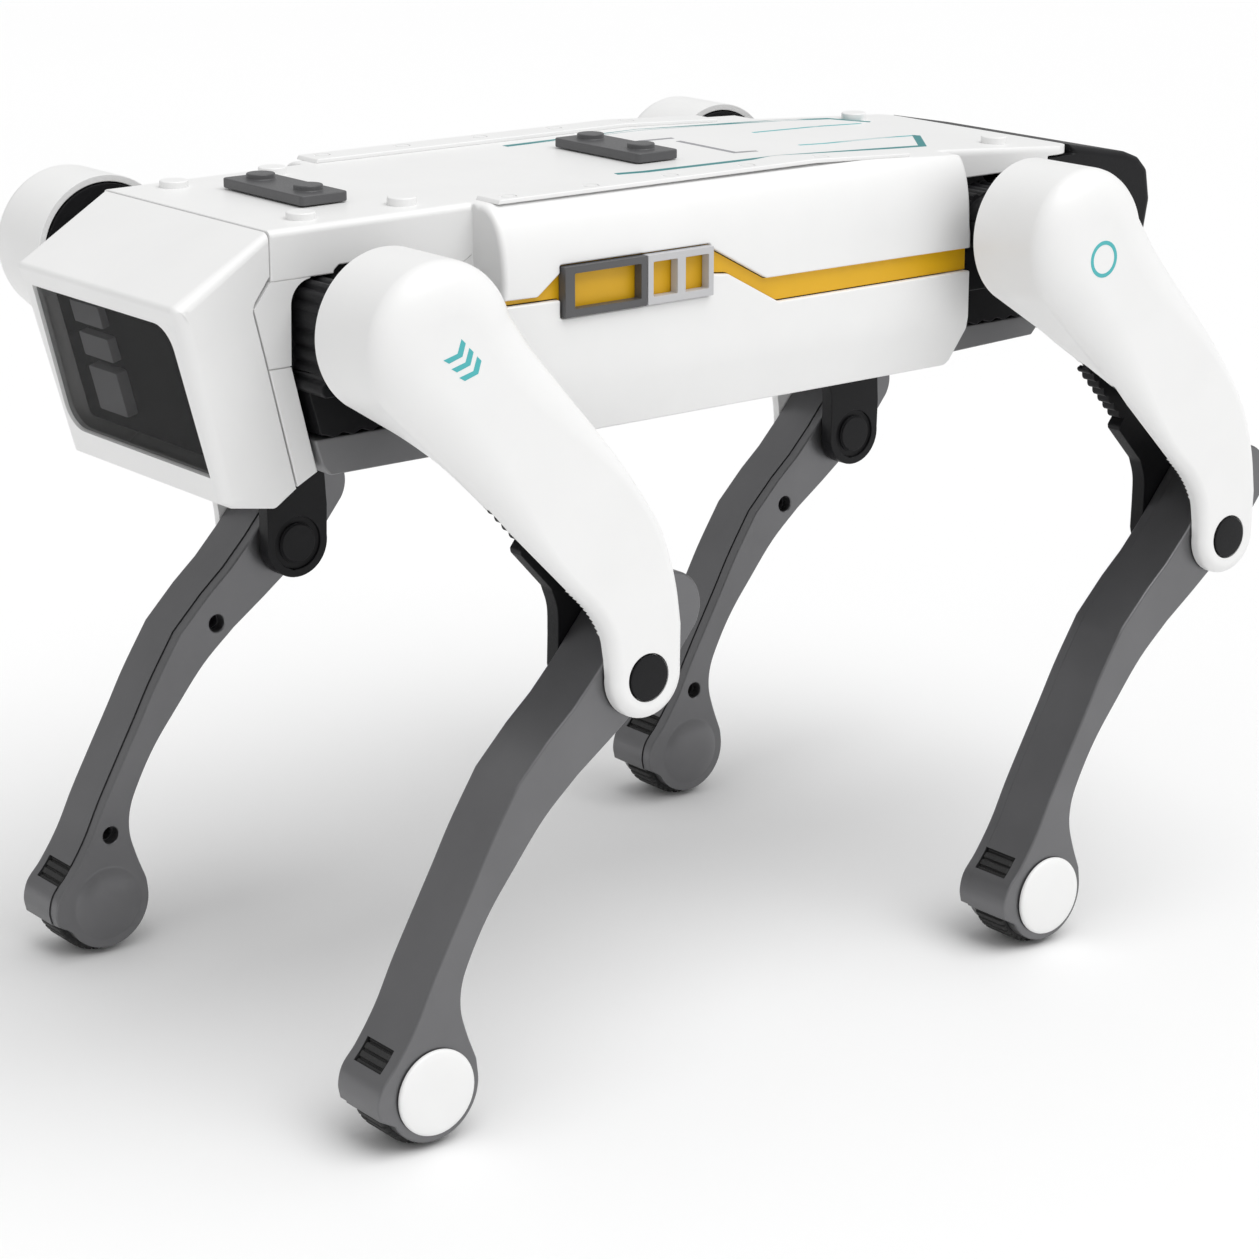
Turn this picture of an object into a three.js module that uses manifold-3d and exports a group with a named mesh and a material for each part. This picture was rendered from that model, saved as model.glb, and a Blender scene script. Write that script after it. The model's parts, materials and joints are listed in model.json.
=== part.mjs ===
// Robot dog toy: a four-legged walking toy with driven hips, click-stop knees
// and a ratchet roller in each foot.
// Millimetres, +Z up. The head looks along -Y and the dog's left side is +X.
// Lengths along Y ("stations") are counted from the point midway between the front and the rear feet.
import * as THREE from "three";
import { mergeVertices } from "three/addons/utils/BufferGeometryUtils.js";
import Module from "manifold-3d";

const wasm = await Module();
wasm.setup();

// ---- Driving dimensions ----
const FOOT_PITCH = 200; // front feet to rear feet
const HEAD_FRONT = -133.4; // station of the brow's front edge
const TAIL_REAR = 180; // station of the tail cap's rear face
const HIP_STATION = 6; // each hip sits this far behind its foot
const HIP_Z = 189.6;
const KNEE = [53.7, -85.2]; // knee pin from the hip, [y, z]
const FOOT = [-6, -175.4]; // foot axle from the hip, [y, z]
const ROLLER_RADIUS = HIP_Z + FOOT[1]; // the rollers stand on z = 0
const HIP_RADIUS = 19.1;

const BODY_HALF = 37; // half width of the deck, head and tail
const SIDE_HALF = 49.5; // half width over the side panels
const SIDE_FRONT = -52;
const SIDE_REAR = 98.4;
const DECK_Z = 210.5;
const WALL = 2;
const GAP = 0.3; // clearance between touching pieces

const FRAME_IN = 61.5; // inner face of the thigh frame
const COVER_IN = 62; // inner rim of the thigh cover
const CHEEK_IN = 66; // fork slot, inner side
const CHEEK_OUT = 84.5; // fork slot, outer side
const THIGH_OUT = 88.9; // outer face of the thigh cover
const PIN_RADIUS = 3;
const AXLE_RADIUS = 2;

// ---- Materials ----
function paint(color, roughness, metalness = 0) {
  return new THREE.MeshStandardMaterial({ color, roughness, metalness });
}
const WHITE = paint(0xf1f1f0, 0.38);
const BLACK = paint(0x26262a, 0.5);
const GUNMETAL = paint(0x6c6c70, 0.35, 0.35);
const GREY = paint(0x8a8a8e, 0.45);
const YELLOW = paint(0xe0a800, 0.45);
const LIGHT_GREY = paint(0xc2c2c4, 0.4);
const GLASS = paint(0x111114, 0.08);
const GREEN = paint(0x1c5b3a, 0.5);
const STEEL = paint(0x9a9aa0, 0.3, 0.8);

// ---- Outlines ----
// Corner points [a, b, radius]; a corner with a radius is rounded off.
function outline(corners, steps = 3) {
  const points = [];
  corners.forEach(([a, b, radius = 0], i) => {
    const corner = new THREE.Vector2(a, b);
    if (!radius) {
      points.push(corner);
      return;
    }
    const before = corners.at(i - 1);
    const after = corners[(i + 1) % corners.length];
    const u = new THREE.Vector2(before[0] - a, before[1] - b).normalize();
    const v = new THREE.Vector2(after[0] - a, after[1] - b).normalize();
    const half = Math.acos(u.dot(v)) / 2;
    const turn = -Math.sign(u.cross(v)) * (Math.PI - 2 * half);
    const centre = u.clone().add(v).normalize().multiplyScalar(radius / Math.sin(half)).add(corner);
    const start = u.multiplyScalar(radius / Math.tan(half)).add(corner).sub(centre);
    for (let k = 0; k <= steps; k++) {
      points.push(start.clone().rotateAround(new THREE.Vector2(), (turn * k) / steps).add(centre));
    }
  });
  return points;
}

// Points [a, b] along an arc, angles in degrees.
function arc(a, b, radius, from, to, steps) {
  return Array.from({ length: steps + 1 }, (_, k) => {
    const angle = THREE.MathUtils.degToRad(from + ((to - from) * k) / steps);
    return [a + radius * Math.cos(angle), b + radius * Math.sin(angle)];
  });
}

// A closed outline moved inwards by a distance along its corner normals.
function inset(corners, distance) {
  const points = corners.map(([a, b]) => new THREE.Vector2(a, b));
  const side = THREE.ShapeUtils.isClockWise(points) ? -1 : 1;
  return points.map((p, i) => {
    const before = p.clone().sub(points.at(i - 1)).normalize();
    const after = points[(i + 1) % points.length].clone().sub(p).normalize();
    const bisector = before.clone().add(after).normalize();
    const reach = distance / Math.max(0.5, Math.sqrt((1 + before.dot(after)) / 2));
    return [p.x - side * bisector.y * reach, p.y + side * bisector.x * reach];
  });
}

// ---- Solids ----
function toSolid(geometry) {
  geometry.deleteAttribute("normal");
  geometry.deleteAttribute("uv");
  const merged = mergeVertices(geometry, 1e-4);
  return new wasm.Manifold(
    new wasm.Mesh({
      numProp: 3,
      vertProperties: merged.attributes.position.array,
      triVerts: new Uint32Array(merged.index.array),
    }),
  );
}

const vector = (v) => new THREE.Vector3(...v);
const basis = (u, v, w) => new THREE.Matrix4().makeBasis(vector(u), vector(v), vector(w));
const ALONG_X = basis([0, 1, 0], [0, 0, 1], [1, 0, 0]); // outlines are [y, z]
const ALONG_Y = basis([1, 0, 0], [0, 0, 1], [0, -1, 0]); // outlines are [x, z], lengths run to the head
const ALONG_Z = new THREE.Matrix4(); // outlines are [x, y]

// An outline pushed from one length to another along a frame's third axis; both rims can be rounded.
function prism(corners, from, to, frame = ALONG_X, rim = 0, rimSteps = 2) {
  const shape = new THREE.Shape(corners[0] instanceof THREE.Vector2 ? corners : outline(corners));
  const geometry = new THREE.ExtrudeGeometry(shape, {
    depth: to - from - 2 * rim,
    bevelEnabled: rim > 0,
    bevelThickness: rim,
    bevelSize: rim,
    bevelOffset: -rim,
    bevelSegments: rimSteps,
    curveSegments: 8,
  });
  geometry.translate(0, 0, from + rim).applyMatrix4(frame);
  return toSolid(geometry);
}

const rectangle = (a0, a1, b0, b1, radius = 0) => [
  [a0, b0, radius],
  [a1, b0, radius],
  [a1, b1, radius],
  [a0, b1, radius],
];
function block(x0, x1, y0, y1, z0, z1, radius = 0) {
  return prism(rectangle(x0, x1, y0, y1, radius), z0, z1, ALONG_Z);
}

// A disc about an axis along X, at [y, z].
function disc(radius, [y, z], x0, x1, sides = 24) {
  const geometry = new THREE.CylinderGeometry(radius, radius, x1 - x0, sides);
  geometry.rotateZ(-Math.PI / 2).translate((x0 + x1) / 2, y, z);
  return toSolid(geometry);
}

// A stud or round pillar standing along Z.
function pillar(radius, x, y, z0, z1, sides = 12) {
  const geometry = new THREE.CylinderGeometry(radius, radius, z1 - z0, sides);
  geometry.rotateX(Math.PI / 2).translate(x, y, (z0 + z1) / 2);
  return toSolid(geometry);
}

// A profile [radius, x] turned about an axis along X, at [y, z].
function turned(profile, [y, z], sides = 24) {
  const geometry = new THREE.LatheGeometry(
    profile.map(([radius, x]) => new THREE.Vector2(radius, x)),
    sides,
  );
  geometry.rotateZ(-Math.PI / 2).translate(0, y, z);
  return toSolid(geometry);
}

const join = (...solids) => solids.reduce((a, b) => a.add(b));
const cut = (solid, ...tools) => tools.reduce((a, b) => a.subtract(b), solid);

function toGeometry(solid) {
  const { vertProperties, triVerts } = solid.getMesh();
  return new THREE.BufferGeometry()
    .setAttribute("position", new THREE.BufferAttribute(new Float32Array(vertProperties), 3))
    .setIndex(new THREE.BufferAttribute(new Uint32Array(triVerts), 1));
}

const toy = new THREE.Group();
toy.position.y = -(HEAD_FRONT + TAIL_REAR) / 2; // the origin is under the middle of the overall length

function place(name, solid, material, parent = toy) {
  const geometry = toGeometry(solid).toNonIndexed();
  geometry.computeVertexNormals();
  const mesh = new THREE.Mesh(geometry, material);
  mesh.name = name;
  parent.add(mesh);
}

// The same solid on both sides of the toy: made on the left (+X), mirrored to the right.
const mirrored = (solid) => solid.mirror([1, 0, 0]);
function placePair(name, solid, material) {
  place(`${name}_left`, solid, material);
  place(`${name}_right`, mirrored(solid), material);
}

// ---- Legs, drawn about the hip axis at [0, 0] ----
const fromFoot = (points) => points.map(([y, z]) => [y + FOOT[0], z + FOOT[1]]);

const THIGH = [
  ...arc(0, 0, HIP_RADIUS, 232, 18, 11),
  [24, -3],
  [42.3, -26],
  [51.7, -39],
  [58.6, -50],
  [62.9, -63],
  [64.6, -74],
  ...arc(KNEE[0] + 0.4, KNEE[1], 10.4, 8, -188, 6),
  [43.6, -78],
  [42.3, -69],
  [34.2, -55],
  [18, -35.8],
];

// Everything below this line is the fork that holds the knee.
const forkZone = (drop) => [
  [12.5, -31.3 - drop],
  [40, -50 - drop],
  [74, -52 - drop],
  [84, -110],
  [0, -110],
];

// The cover's outer face is broader: its front edge runs straight from the hip to the knee.
const THIGH_FACE = [
  ...arc(0, 0, HIP_RADIUS, 227, 18, 11),
  ...THIGH.slice(12, -4),
  [43.3, -80],
  [42.1, -73.6],
  [38.3, -67.3],
  [24, -52.8],
  [3.6, -30.4],
];

function thighCover() {
  const face = cut(
    prism(THIGH_FACE, CHEEK_OUT - 12, THIGH_OUT, ALONG_X, 5),
    block(CHEEK_OUT - 13, CHEEK_OUT - 3, -40, 90, -120, 40),
  );
  return cut(
    join(face, prism(THIGH, COVER_IN, CHEEK_OUT - 2)),
    prism(inset(THIGH, 1.8), COVER_IN - 8, CHEEK_OUT),
    prism(forkZone(0), COVER_IN - 1, CHEEK_OUT),
    disc(PIN_RADIUS + GAP, KNEE, CHEEK_OUT - 1, THIGH_OUT + 1, 16),
    disc(5.8, KNEE, THIGH_OUT - 2.2, THIGH_OUT + 1, 20),
  );
}

// The inner cheek's ribbed front edge, from the knee's step up towards the hip.
const RIB_COUNT = 7;
function ribbedEdge(bottom, top, height) {
  const pitch = top.clone().sub(bottom).divideScalar(RIB_COUNT);
  const out = new THREE.Vector2(-pitch.y, pitch.x).normalize().multiplyScalar(height);
  return Array.from({ length: RIB_COUNT }, (_, i) => {
    const start = pitch.clone().multiplyScalar(i).add(bottom);
    const end = start.clone().addScaledVector(pitch, 0.5);
    return [start.clone().add(out), end.clone().add(out), end, start.add(pitch)].map(({ x, y }) => [x, y]);
  }).flat();
}
const INNER_CHEEK = [
  [30, -34],
  [56, -46],
  [58.2, -50.3],
  [62.3, -63.2],
  [63.4, -76],
  ...arc(KNEE[0], KNEE[1], 9.5, 8, -180, 6),
  [44.3, -72],
  [42.6, -66.4],
  [33.6, -55.8],
  ...ribbedEdge(new THREE.Vector2(34.8, -54.4), new THREE.Vector2(21.4, -38), 0.9),
];

// The frame is hollow, open to the outside under the cover.
const THIGH_POCKET = [
  [-12, -8],
  [-12, 7],
  [-1, 14],
  [12, 10],
  [38, -26],
  [44, -36],
  [28, -38],
  [8, -21],
];

function thighFrame() {
  const plate = prism(inset(THIGH, 2.1), FRAME_IN, CHEEK_IN);
  const fork = prism(forkZone(GAP), FRAME_IN - 1, CHEEK_IN + 1);
  const cheek = prism(INNER_CHEEK, FRAME_IN, CHEEK_IN).intersect(fork);
  const core = cut(
    prism(inset(THIGH, 2.1), CHEEK_IN - 1, CHEEK_OUT - GAP),
    prism(THIGH_POCKET, CHEEK_IN + 1, CHEEK_OUT + 1),
    prism(forkZone(-0.5), CHEEK_IN, CHEEK_OUT + 1),
    disc(28.6, KNEE, CHEEK_IN, CHEEK_OUT + 1),
  );
  const stub = turned(
    [
      [0, 27.3],
      [5, 27.3],
      [5, 58],
      [8, FRAME_IN],
      [8, CHEEK_OUT - GAP],
      [0, CHEEK_OUT - GAP],
    ],
    [0, 0],
    16,
  );
  const ring = (radius) => disc(radius, KNEE, FRAME_IN - 1, FRAME_IN + 0.8, 16);
  const groove = cut(ring(6.2), ring(5.2));
  const pinHole = disc(PIN_RADIUS + GAP, KNEE, FRAME_IN + 1.5, CHEEK_IN + 1, 16);
  return cut(join(plate, cheek, core, stub), pinHole, groove);
}

function kneePin() {
  return join(
    disc(5.5, KNEE, THIGH_OUT - 1.9, THIGH_OUT + 0.4, 20),
    disc(PIN_RADIUS, KNEE, FRAME_IN + 1.8, THIGH_OUT - 1.5, 16),
  );
}

// Calf side view, from the foot axle.
const KNEE_FROM_FOOT = [KNEE[0] - FOOT[0], KNEE[1] - FOOT[1]];
const LOBE = [KNEE_FROM_FOOT[0] + 10.2, KNEE_FROM_FOOT[1] + 13.6];
const CALF_TOP = [...arc(...LOBE, 9.3, -33.5, 146.5, 6), [48.2, 92.5], [34, 79]];
const CALF = [
  ...CALF_TOP,
  [25, 70],
  [17, 57.5],
  [6, 38],
  [0, 27.3],
  [-5, 17.5],
  [-12, 9.5],
  [-15.7, 3],
  [-15.9, -1.5],
  ...arc(0, 0, 12.7, 200, 375, 9),
  [9.4, 12],
  [8, 18.5],
  [8.4, 24],
  [12.1, 32.9],
  [23.8, 49.6],
  [32.6, 60],
  [52.1, 75.4],
  [66.5, 85.4],
];
const KNUCKLE = [...CALF_TOP, [42.3, 68.4], [52.1, 75.4], [66.5, 85.4]];
const CALF_SPLIT = 69.7; // joint face between the calf's inner plate and its shell
const ROLLER_IN = 70.2;
const ROLLER_OUT = 80.6;

function calfShell() {
  const split = CALF_SPLIT + GAP;
  return cut(
    join(
      prism(fromFoot(CALF), split, 83.2),
      prism(fromFoot(KNUCKLE), split, CHEEK_OUT - GAP),
      disc(12.7, FOOT, split, CHEEK_OUT - GAP),
    ),
    disc(ROLLER_RADIUS + 0.5, FOOT, split - 1, ROLLER_OUT + GAP),
    disc(PIN_RADIUS + GAP, KNEE, split - 1, CHEEK_OUT, 16),
    disc(AXLE_RADIUS + GAP, FOOT, split - 1, CHEEK_OUT, 12),
  );
}

const SCREWS = [
  [36.8, 70.8],
  [1.9, 18.7],
];
function calfPlate() {
  const dome = turned(
    [
      [0, 64.8],
      [6, 65.3],
      [11, 66.8],
      [11.6, CALF_SPLIT],
      [0, CALF_SPLIT],
    ],
    FOOT,
    20,
  );
  return cut(
    join(
      prism(fromFoot(inset(CALF, 1)), 67.3, CALF_SPLIT),
      prism(fromFoot(inset(KNUCKLE, 1)), CHEEK_IN + GAP, CALF_SPLIT),
      dome,
    ),
    ...fromFoot(SCREWS).map((at) => disc(1.9, at, 66, 68.6, 10)),
    disc(PIN_RADIUS + GAP, KNEE, CHEEK_IN - 1, CALF_SPLIT + 1, 16),
    disc(AXLE_RADIUS + GAP, FOOT, 67.5, CALF_SPLIT + 1, 12),
  );
}

// Alternating wide teeth and gaps round a circle at [0, 0] or a given centre.
function toothed([y, z], count, outer, inner) {
  const pitch = 360 / count;
  return Array.from({ length: count }, (_, i) => [
    ...arc(y, z, outer, (i - 0.28) * pitch, (i + 0.28) * pitch, 1),
    ...arc(y, z, inner, (i + 0.4) * pitch, (i + 0.6) * pitch, 1),
  ]).flat();
}

function footRoller() {
  return cut(
    prism(toothed(FOOT, 16, ROLLER_RADIUS, ROLLER_RADIUS - 0.7), ROLLER_IN, ROLLER_OUT),
    disc(AXLE_RADIUS + GAP, FOOT, ROLLER_IN - 1, ROLLER_OUT + 1, 12),
  );
}

function footCap() {
  const button = [
    [0, CHEEK_OUT + 0.1],
    [10.6, CHEEK_OUT + 0.1],
    [10.2, 85.6],
    [0, 86],
  ];
  return join(turned(button, FOOT), disc(AXLE_RADIUS, FOOT, 68, CHEEK_OUT + 0.5, 12));
}

// The housing beside each hip, seen from the side. With it come a toothed flange behind the
// deck's side wall and a hub that reaches the thigh.
const HIP_HOUSING = [
  [-7.2, -16],
  [-7.2, 8.2, 5],
  [24, 8.2],
  [24, -16],
];
function hipBearing() {
  const flange = cut(prism(toothed([0, 0], 12, 17.4, 16.2), 30.3, 34.6), block(29, 60, -30, 30, 14, 30));
  const housing = prism(HIP_HOUSING, 31, 46);
  return cut(join(flange, housing, disc(7.2, [0, 0], 30.3, 57, 16)), disc(5.3, [0, 0], 29, 60, 16));
}

const LEG_PIECES = [
  ["thigh_cover", thighCover(), WHITE],
  ["thigh_frame", thighFrame(), BLACK],
  ["knee_pin", kneePin(), GREY],
  ["calf_shell", calfShell(), GUNMETAL],
  ["calf_plate", calfPlate(), GUNMETAL],
  ["foot_roller", footRoller(), BLACK],
  ["foot_cap", footCap(), WHITE],
  ["hip_bearing", hipBearing(), BLACK],
];
const HIPS = { front: HIP_STATION - FOOT_PITCH / 2, rear: HIP_STATION + FOOT_PITCH / 2 };
for (const [end, station] of Object.entries(HIPS)) {
  const legs = new THREE.Group();
  legs.position.set(0, station, HIP_Z);
  toy.add(legs);
  for (const [piece, solid, material] of LEG_PIECES) {
    place(`${end}_left_${piece}`, solid, material, legs);
    place(`${end}_right_${piece}`, mirrored(solid), material, legs);
  }
}

// ---- Body shell ----
const DECK_FRONT = -108;
const DECK_REAR = 147.5;
const DECK_LINE = [
  [DECK_FRONT, DECK_Z - 0.5],
  [SIDE_FRONT, DECK_Z],
  [50, DECK_Z],
  [102, DECK_Z - 2.5],
  [DECK_REAR, DECK_Z - 5.5],
];
const HEM_Z = 198.3; // lower edge of the deck's side wall over the hips

// The bright stripe shows between these two edges; the window frames stand in the step of the stripe.
const STRIPE_TOP = [
  [SIDE_FRONT, 188.9],
  [-42.3, 188.7],
  [-35.6, 193.6],
  [-35.6, 195.5],
  [10.5, 195.5],
  [10.5, 194.6],
  [28.6, 184.8],
  [SIDE_REAR, 184.4],
];
const STRIPE_BOTTOM = [
  [SIDE_FRONT, 187.4],
  [-35.6, 187.2],
  [-35.6, 182.7],
  [10.5, 182.7],
  [10.5, 187.9],
  [16.2, 187.3],
  [32.6, 178.4],
  [SIDE_REAR, 178.4],
];

// Cross-section of the wide middle of the shell: squarish shoulders falling to the sides.
function shoulders(offset) {
  const half = arc(0, 0, 1, 0, 90, 6).map(([u, v]) => [
    39 + (SIDE_HALF - 39 - offset) * Math.abs(u) ** 0.77,
    188 + (DECK_Z - 188 - offset) * v ** 0.77,
  ]);
  const left = [[SIDE_HALF - offset, 170], ...half];
  return [...left, ...left.map(([x, z]) => [-x, z]).reverse()];
}

// The deck's outline seen from the side, lowered by a distance and lengthened at both ends.
const underDeck = (drop, extra) => [
  ...DECK_LINE.map(([y, z]) => [y, z - drop]),
  [DECK_REAR + extra, DECK_Z - 5.5 - drop],
  [DECK_REAR + extra, 140],
  [DECK_FRONT - extra, 140],
  [DECK_FRONT - extra, DECK_Z - 0.5 - drop],
];

function upperShell() {
  const inner = BODY_HALF - WALL;
  const deck = [
    [-BODY_HALF, DECK_FRONT],
    [BODY_HALF, DECK_FRONT],
    [BODY_HALF, DECK_REAR, 5],
    [-BODY_HALF, DECK_REAR, 5],
  ];
  const outside = join(
    prism(shoulders(0), -SIDE_REAR, -SIDE_FRONT, ALONG_Y),
    prism(deck, HEM_Z, DECK_Z + 1, ALONG_Z),
  ).intersect(prism(underDeck(0, 0), -60, 60));
  const inside = join(
    prism(shoulders(WALL), WALL - SIDE_REAR, -SIDE_FRONT - WALL, ALONG_Y),
    block(-inner, inner, DECK_FRONT - 1, DECK_REAR + 1, 140, DECK_Z),
  ).intersect(prism(underDeck(WALL, 2), -60, 60));
  const belowStripe = [
    [SIDE_FRONT - 1, 150],
    [SIDE_FRONT - 1, 188.9],
    ...STRIPE_TOP,
    [SIDE_REAR + 1, 184.4],
    [SIDE_REAR + 1, 150],
  ];
  const studs = [
    [-93.8, 211.8],
    [-65.8, 212.3],
    [126.7, 208.4],
  ].flatMap(([y, z]) => [pillar(3.5, 28, y, z - 3, z), pillar(3.5, -28, y, z - 3, z)]);
  const overTail = block(-60, 60, 138.5, DECK_REAR + 1, 190, 202.8);
  return join(cut(outside, inside, prism(belowStripe, -60, 60), overTail), ...studs);
}

const SIDE_FLOOR = 153.5;
function sidePanel() {
  const face = [...STRIPE_BOTTOM, [SIDE_REAR, 163], [SIDE_REAR - 5, SIDE_FLOOR], [SIDE_FRONT, SIDE_FLOOR]];
  const section = (offset) => [
    [37.1, 200],
    [SIDE_HALF - offset, 200],
    [SIDE_HALF - offset, 166],
    [SIDE_HALF - 2.5 - offset, SIDE_FLOOR + offset],
    [37.1, SIDE_FLOOR + offset],
  ];
  const hollow = prism(section(WALL), WALL + 5 - SIDE_REAR, -SIDE_FRONT - WALL, ALONG_Y);
  return cut(prism(face, 37.2, 60).intersect(prism(section(0), -SIDE_REAR, -SIDE_FRONT, ALONG_Y)), hollow);
}

const STRIPE_OUT = SIDE_HALF - WALL - GAP;
function stripe() {
  const layer = (offset) => prism(shoulders(offset), -SIDE_REAR, -SIDE_FRONT, ALONG_Y);
  return cut(layer(WALL + GAP), layer(WALL + GAP + 1.5)).intersect(
    block(40, 60, SIDE_FRONT + WALL + GAP, SIDE_REAR - 8, 174, 197.5),
  );
}

const FRAME_OUT = SIDE_HALF + 1.5;
function windowFrame(from, to, panes) {
  const openings = panes.map(([a, b]) => block(STRIPE_OUT, FRAME_OUT + 1, a, b, 184.9, 193.4));
  return cut(block(SIDE_HALF - WALL, FRAME_OUT, from, to, 183, 195.2), ...openings);
}

// A thin strip lying along each edge of the deck.
function rail() {
  const side = [
    [-49, DECK_Z + 0.2],
    [50, DECK_Z + 0.2],
    [82, DECK_Z - 1.2],
    [82, DECK_Z - 0.2],
    [50, DECK_Z + 1.1],
    [-48, DECK_Z + 1.1],
  ];
  return prism(side, 34, 43.2);
}

// A two-stud plate lying across the deck.
function studPlate(y, z) {
  return join(
    block(-17.5, 17.5, y - 6.6, y + 6.6, z, z + 2.4, 1.2),
    pillar(3.5, -10.4, y, z + 2, z + 3.8, 16),
    pillar(3.5, 10.4, y, z + 2, z + 3.8, 16),
  );
}

// ---- Head, side views [y, z] ----
const HEAD_COVER = [
  [DECK_FRONT - 0.4, DECK_Z - 1],
  [HEAD_FRONT, 194.9],
  [-132, 191],
  [-121.2, 148],
  [-118, 146.4],
  [-107.5, 145.2],
  [-101.8, 149],
  [-109.3, 178.4],
  [-113.2, 193],
  [DECK_FRONT - 0.4, 199.5],
];
const HEAD_SHELL = [
  [-101.4, 149.4],
  [-95.9, 152.2],
  [-102.9, 177.8],
  [-102.9, 198],
  [-108.3, 198],
  [-112.7, 192.6],
  [-108.9, 178.4],
];
const HEAD_CAVITY = [
  [-80, 153.4],
  [-80, 206],
  [-108.9, 206],
  [-130.4, 193.6],
  [-129.8, 191],
  [-119.4, 149.6],
  [-117.6, 148.4],
  [-107.8, 147.2],
  [-98.6, 153.4],
];
const headCavity = () => prism(HEAD_CAVITY, WALL - BODY_HALF, BODY_HALF - WALL);

// The bezel leans back: across the head, up along the bezel, and out of it.
const BEZEL_TILT = Math.atan2(10.8, 43);
const BEZEL = basis(
  [1, 0, 0],
  [0, -Math.sin(BEZEL_TILT), Math.cos(BEZEL_TILT)],
  [0, -Math.cos(BEZEL_TILT), -Math.sin(BEZEL_TILT)],
).setPosition(0, -127.2, 172.2);
const pane = (margin) => [
  [margin - 31, 18.6 - margin],
  [31 - margin, 18.6 - margin, 6 - margin],
  [32 - margin, margin - 18.6],
  [margin - 32, margin - 18.6, 6 - margin],
];

function headCover() {
  return cut(prism(HEAD_COVER, -BODY_HALF, BODY_HALF), headCavity(), prism(pane(0), -6, 3, BEZEL));
}
function headShell() {
  return cut(prism(HEAD_SHELL, -BODY_HALF, BODY_HALF), headCavity());
}
function visor() {
  return prism(pane(0.4), -2, -0.5, BEZEL);
}

// Three stacked blocks behind the visor.
function displayBlocks() {
  return join(
    prism(rectangle(-24, 14, -14, 16.5), -10, -8, BEZEL),
    prism(rectangle(-21, -8, 9.5, 15), -8.5, -6, BEZEL),
    prism(rectangle(-20, -7, 2, 8), -8.5, -5, BEZEL),
    prism(rectangle(-18.5, 0, -12.5, 0.5), -8.5, -4, BEZEL),
  );
}

// ---- Tail and belly ----
const TAIL_SIDE = [
  [147.9, 205],
  [170, 200.9],
  [175, 199],
  [178.5, 195.5],
  [TAIL_REAR, 187],
  [178.3, 178],
  [163, 157.5],
  [158, 155.6],
  [140.4, 155],
  [139, 202.3],
  [147.9, 202.3],
];
function tailCap() {
  const half = BODY_HALF - 0.3;
  return cut(
    prism(TAIL_SIDE, -half, half),
    prism(inset(TAIL_SIDE, 2.2), WALL - half, half - WALL),
    block(WALL - half, half - WALL, 130, 150, 158, 199),
  );
}

const TRAY_TOP = 160;
const TRAY_FLOOR = 151;
const TRAY_HALF = BODY_HALF - 0.4;
const SWITCH_Y = 58;
const DOOR = [-18, 18, -36, 30];
function bellyTray() {
  const side = [
    [-95.2, TRAY_FLOOR + 2.6],
    [-93, TRAY_FLOOR],
    [20, TRAY_FLOOR],
    [135, TRAY_FLOOR + 3.4],
    [137.5, TRAY_FLOOR + 6],
    [137.5, TRAY_TOP],
    [-97.2, TRAY_TOP],
  ];
  const inner = TRAY_HALF - WALL;
  return cut(
    prism(side, -TRAY_HALF, TRAY_HALF),
    block(-inner, inner, -92, 133, TRAY_FLOOR + 5.6, TRAY_TOP + 1),
    block(-inner, inner, -90, 40, TRAY_FLOOR + WALL, TRAY_TOP + 1),
    block(...DOOR, TRAY_FLOOR - 1, TRAY_FLOOR + 3, 2),
    block(-3, 3, SWITCH_Y - 6, SWITCH_Y + 6, 140, TRAY_TOP),
    pillar(2.2, 12, SWITCH_Y, 140, TRAY_TOP),
  );
}
const batteryDoor = () => block(GAP - 18, 18 - GAP, GAP - 36, 30 - GAP, TRAY_FLOOR, TRAY_FLOOR + 1.7, 2);

// ---- Inside ----
const CHASSIS_FLOOR = TRAY_TOP + GAP;
function chassis() {
  const tub = cut(
    block(-30, 30, -107, 136, CHASSIS_FLOOR, 197),
    block(-28, 28, -105, 134, CHASSIS_FLOOR + WALL, 200),
    block(-16, 16, -35, 25, 150, 170),
    block(-9, 9, SWITCH_Y - 10, SWITCH_Y + 10, 150, 170),
    ...Object.values(HIPS).map((y) => disc(5.6, [y, HIP_Z], -32, 32, 16)),
  );
  const posts = [-48, 44].flatMap((y) => [-20, 20].map((x) => pillar(2.5, x, y, 161, 185.7, 8)));
  return join(tub, ...posts);
}

function gearbox(y) {
  return join(
    block(-26, 26, y - 10.5, y + 16, CHASSIS_FLOOR + WALL + GAP, 203),
    disc(7, [y + 6, 174], -27.5, 27.5, 12),
    disc(8, [y, HIP_Z], -26.9, 26.9, 12),
  );
}

function circuitBoard() {
  return join(
    block(-24, 24, -56, 54, 186, 187.4, 2),
    block(-9, 9, -18, 0, 187, 189),
    block(-18, -12, 10, 30, 187, 191),
    block(8, 20, 12, 24, 187, 190),
    block(-20, -14, -40, -26, 187, 193),
  );
}

function speaker() {
  const base = CHASSIS_FLOOR + WALL + GAP;
  return join(pillar(12, 0, 80, base, base + 2, 24), pillar(8.5, 0, 80, base + 1, base + 5, 24));
}

function powerSwitch() {
  return join(
    block(-2.6, 2.6, SWITCH_Y - 1.8, SWITCH_Y + 1.8, TRAY_FLOOR, 161),
    block(-6, 6, SWITCH_Y - 4, SWITCH_Y + 4, 160.5, 163),
  );
}
function chargeSocket() {
  return cut(
    pillar(1.9, 12, SWITCH_Y, TRAY_FLOOR + 1.5, TRAY_TOP),
    pillar(0.9, 12, SWITCH_Y, 150, TRAY_TOP - 3),
  );
}

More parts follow.
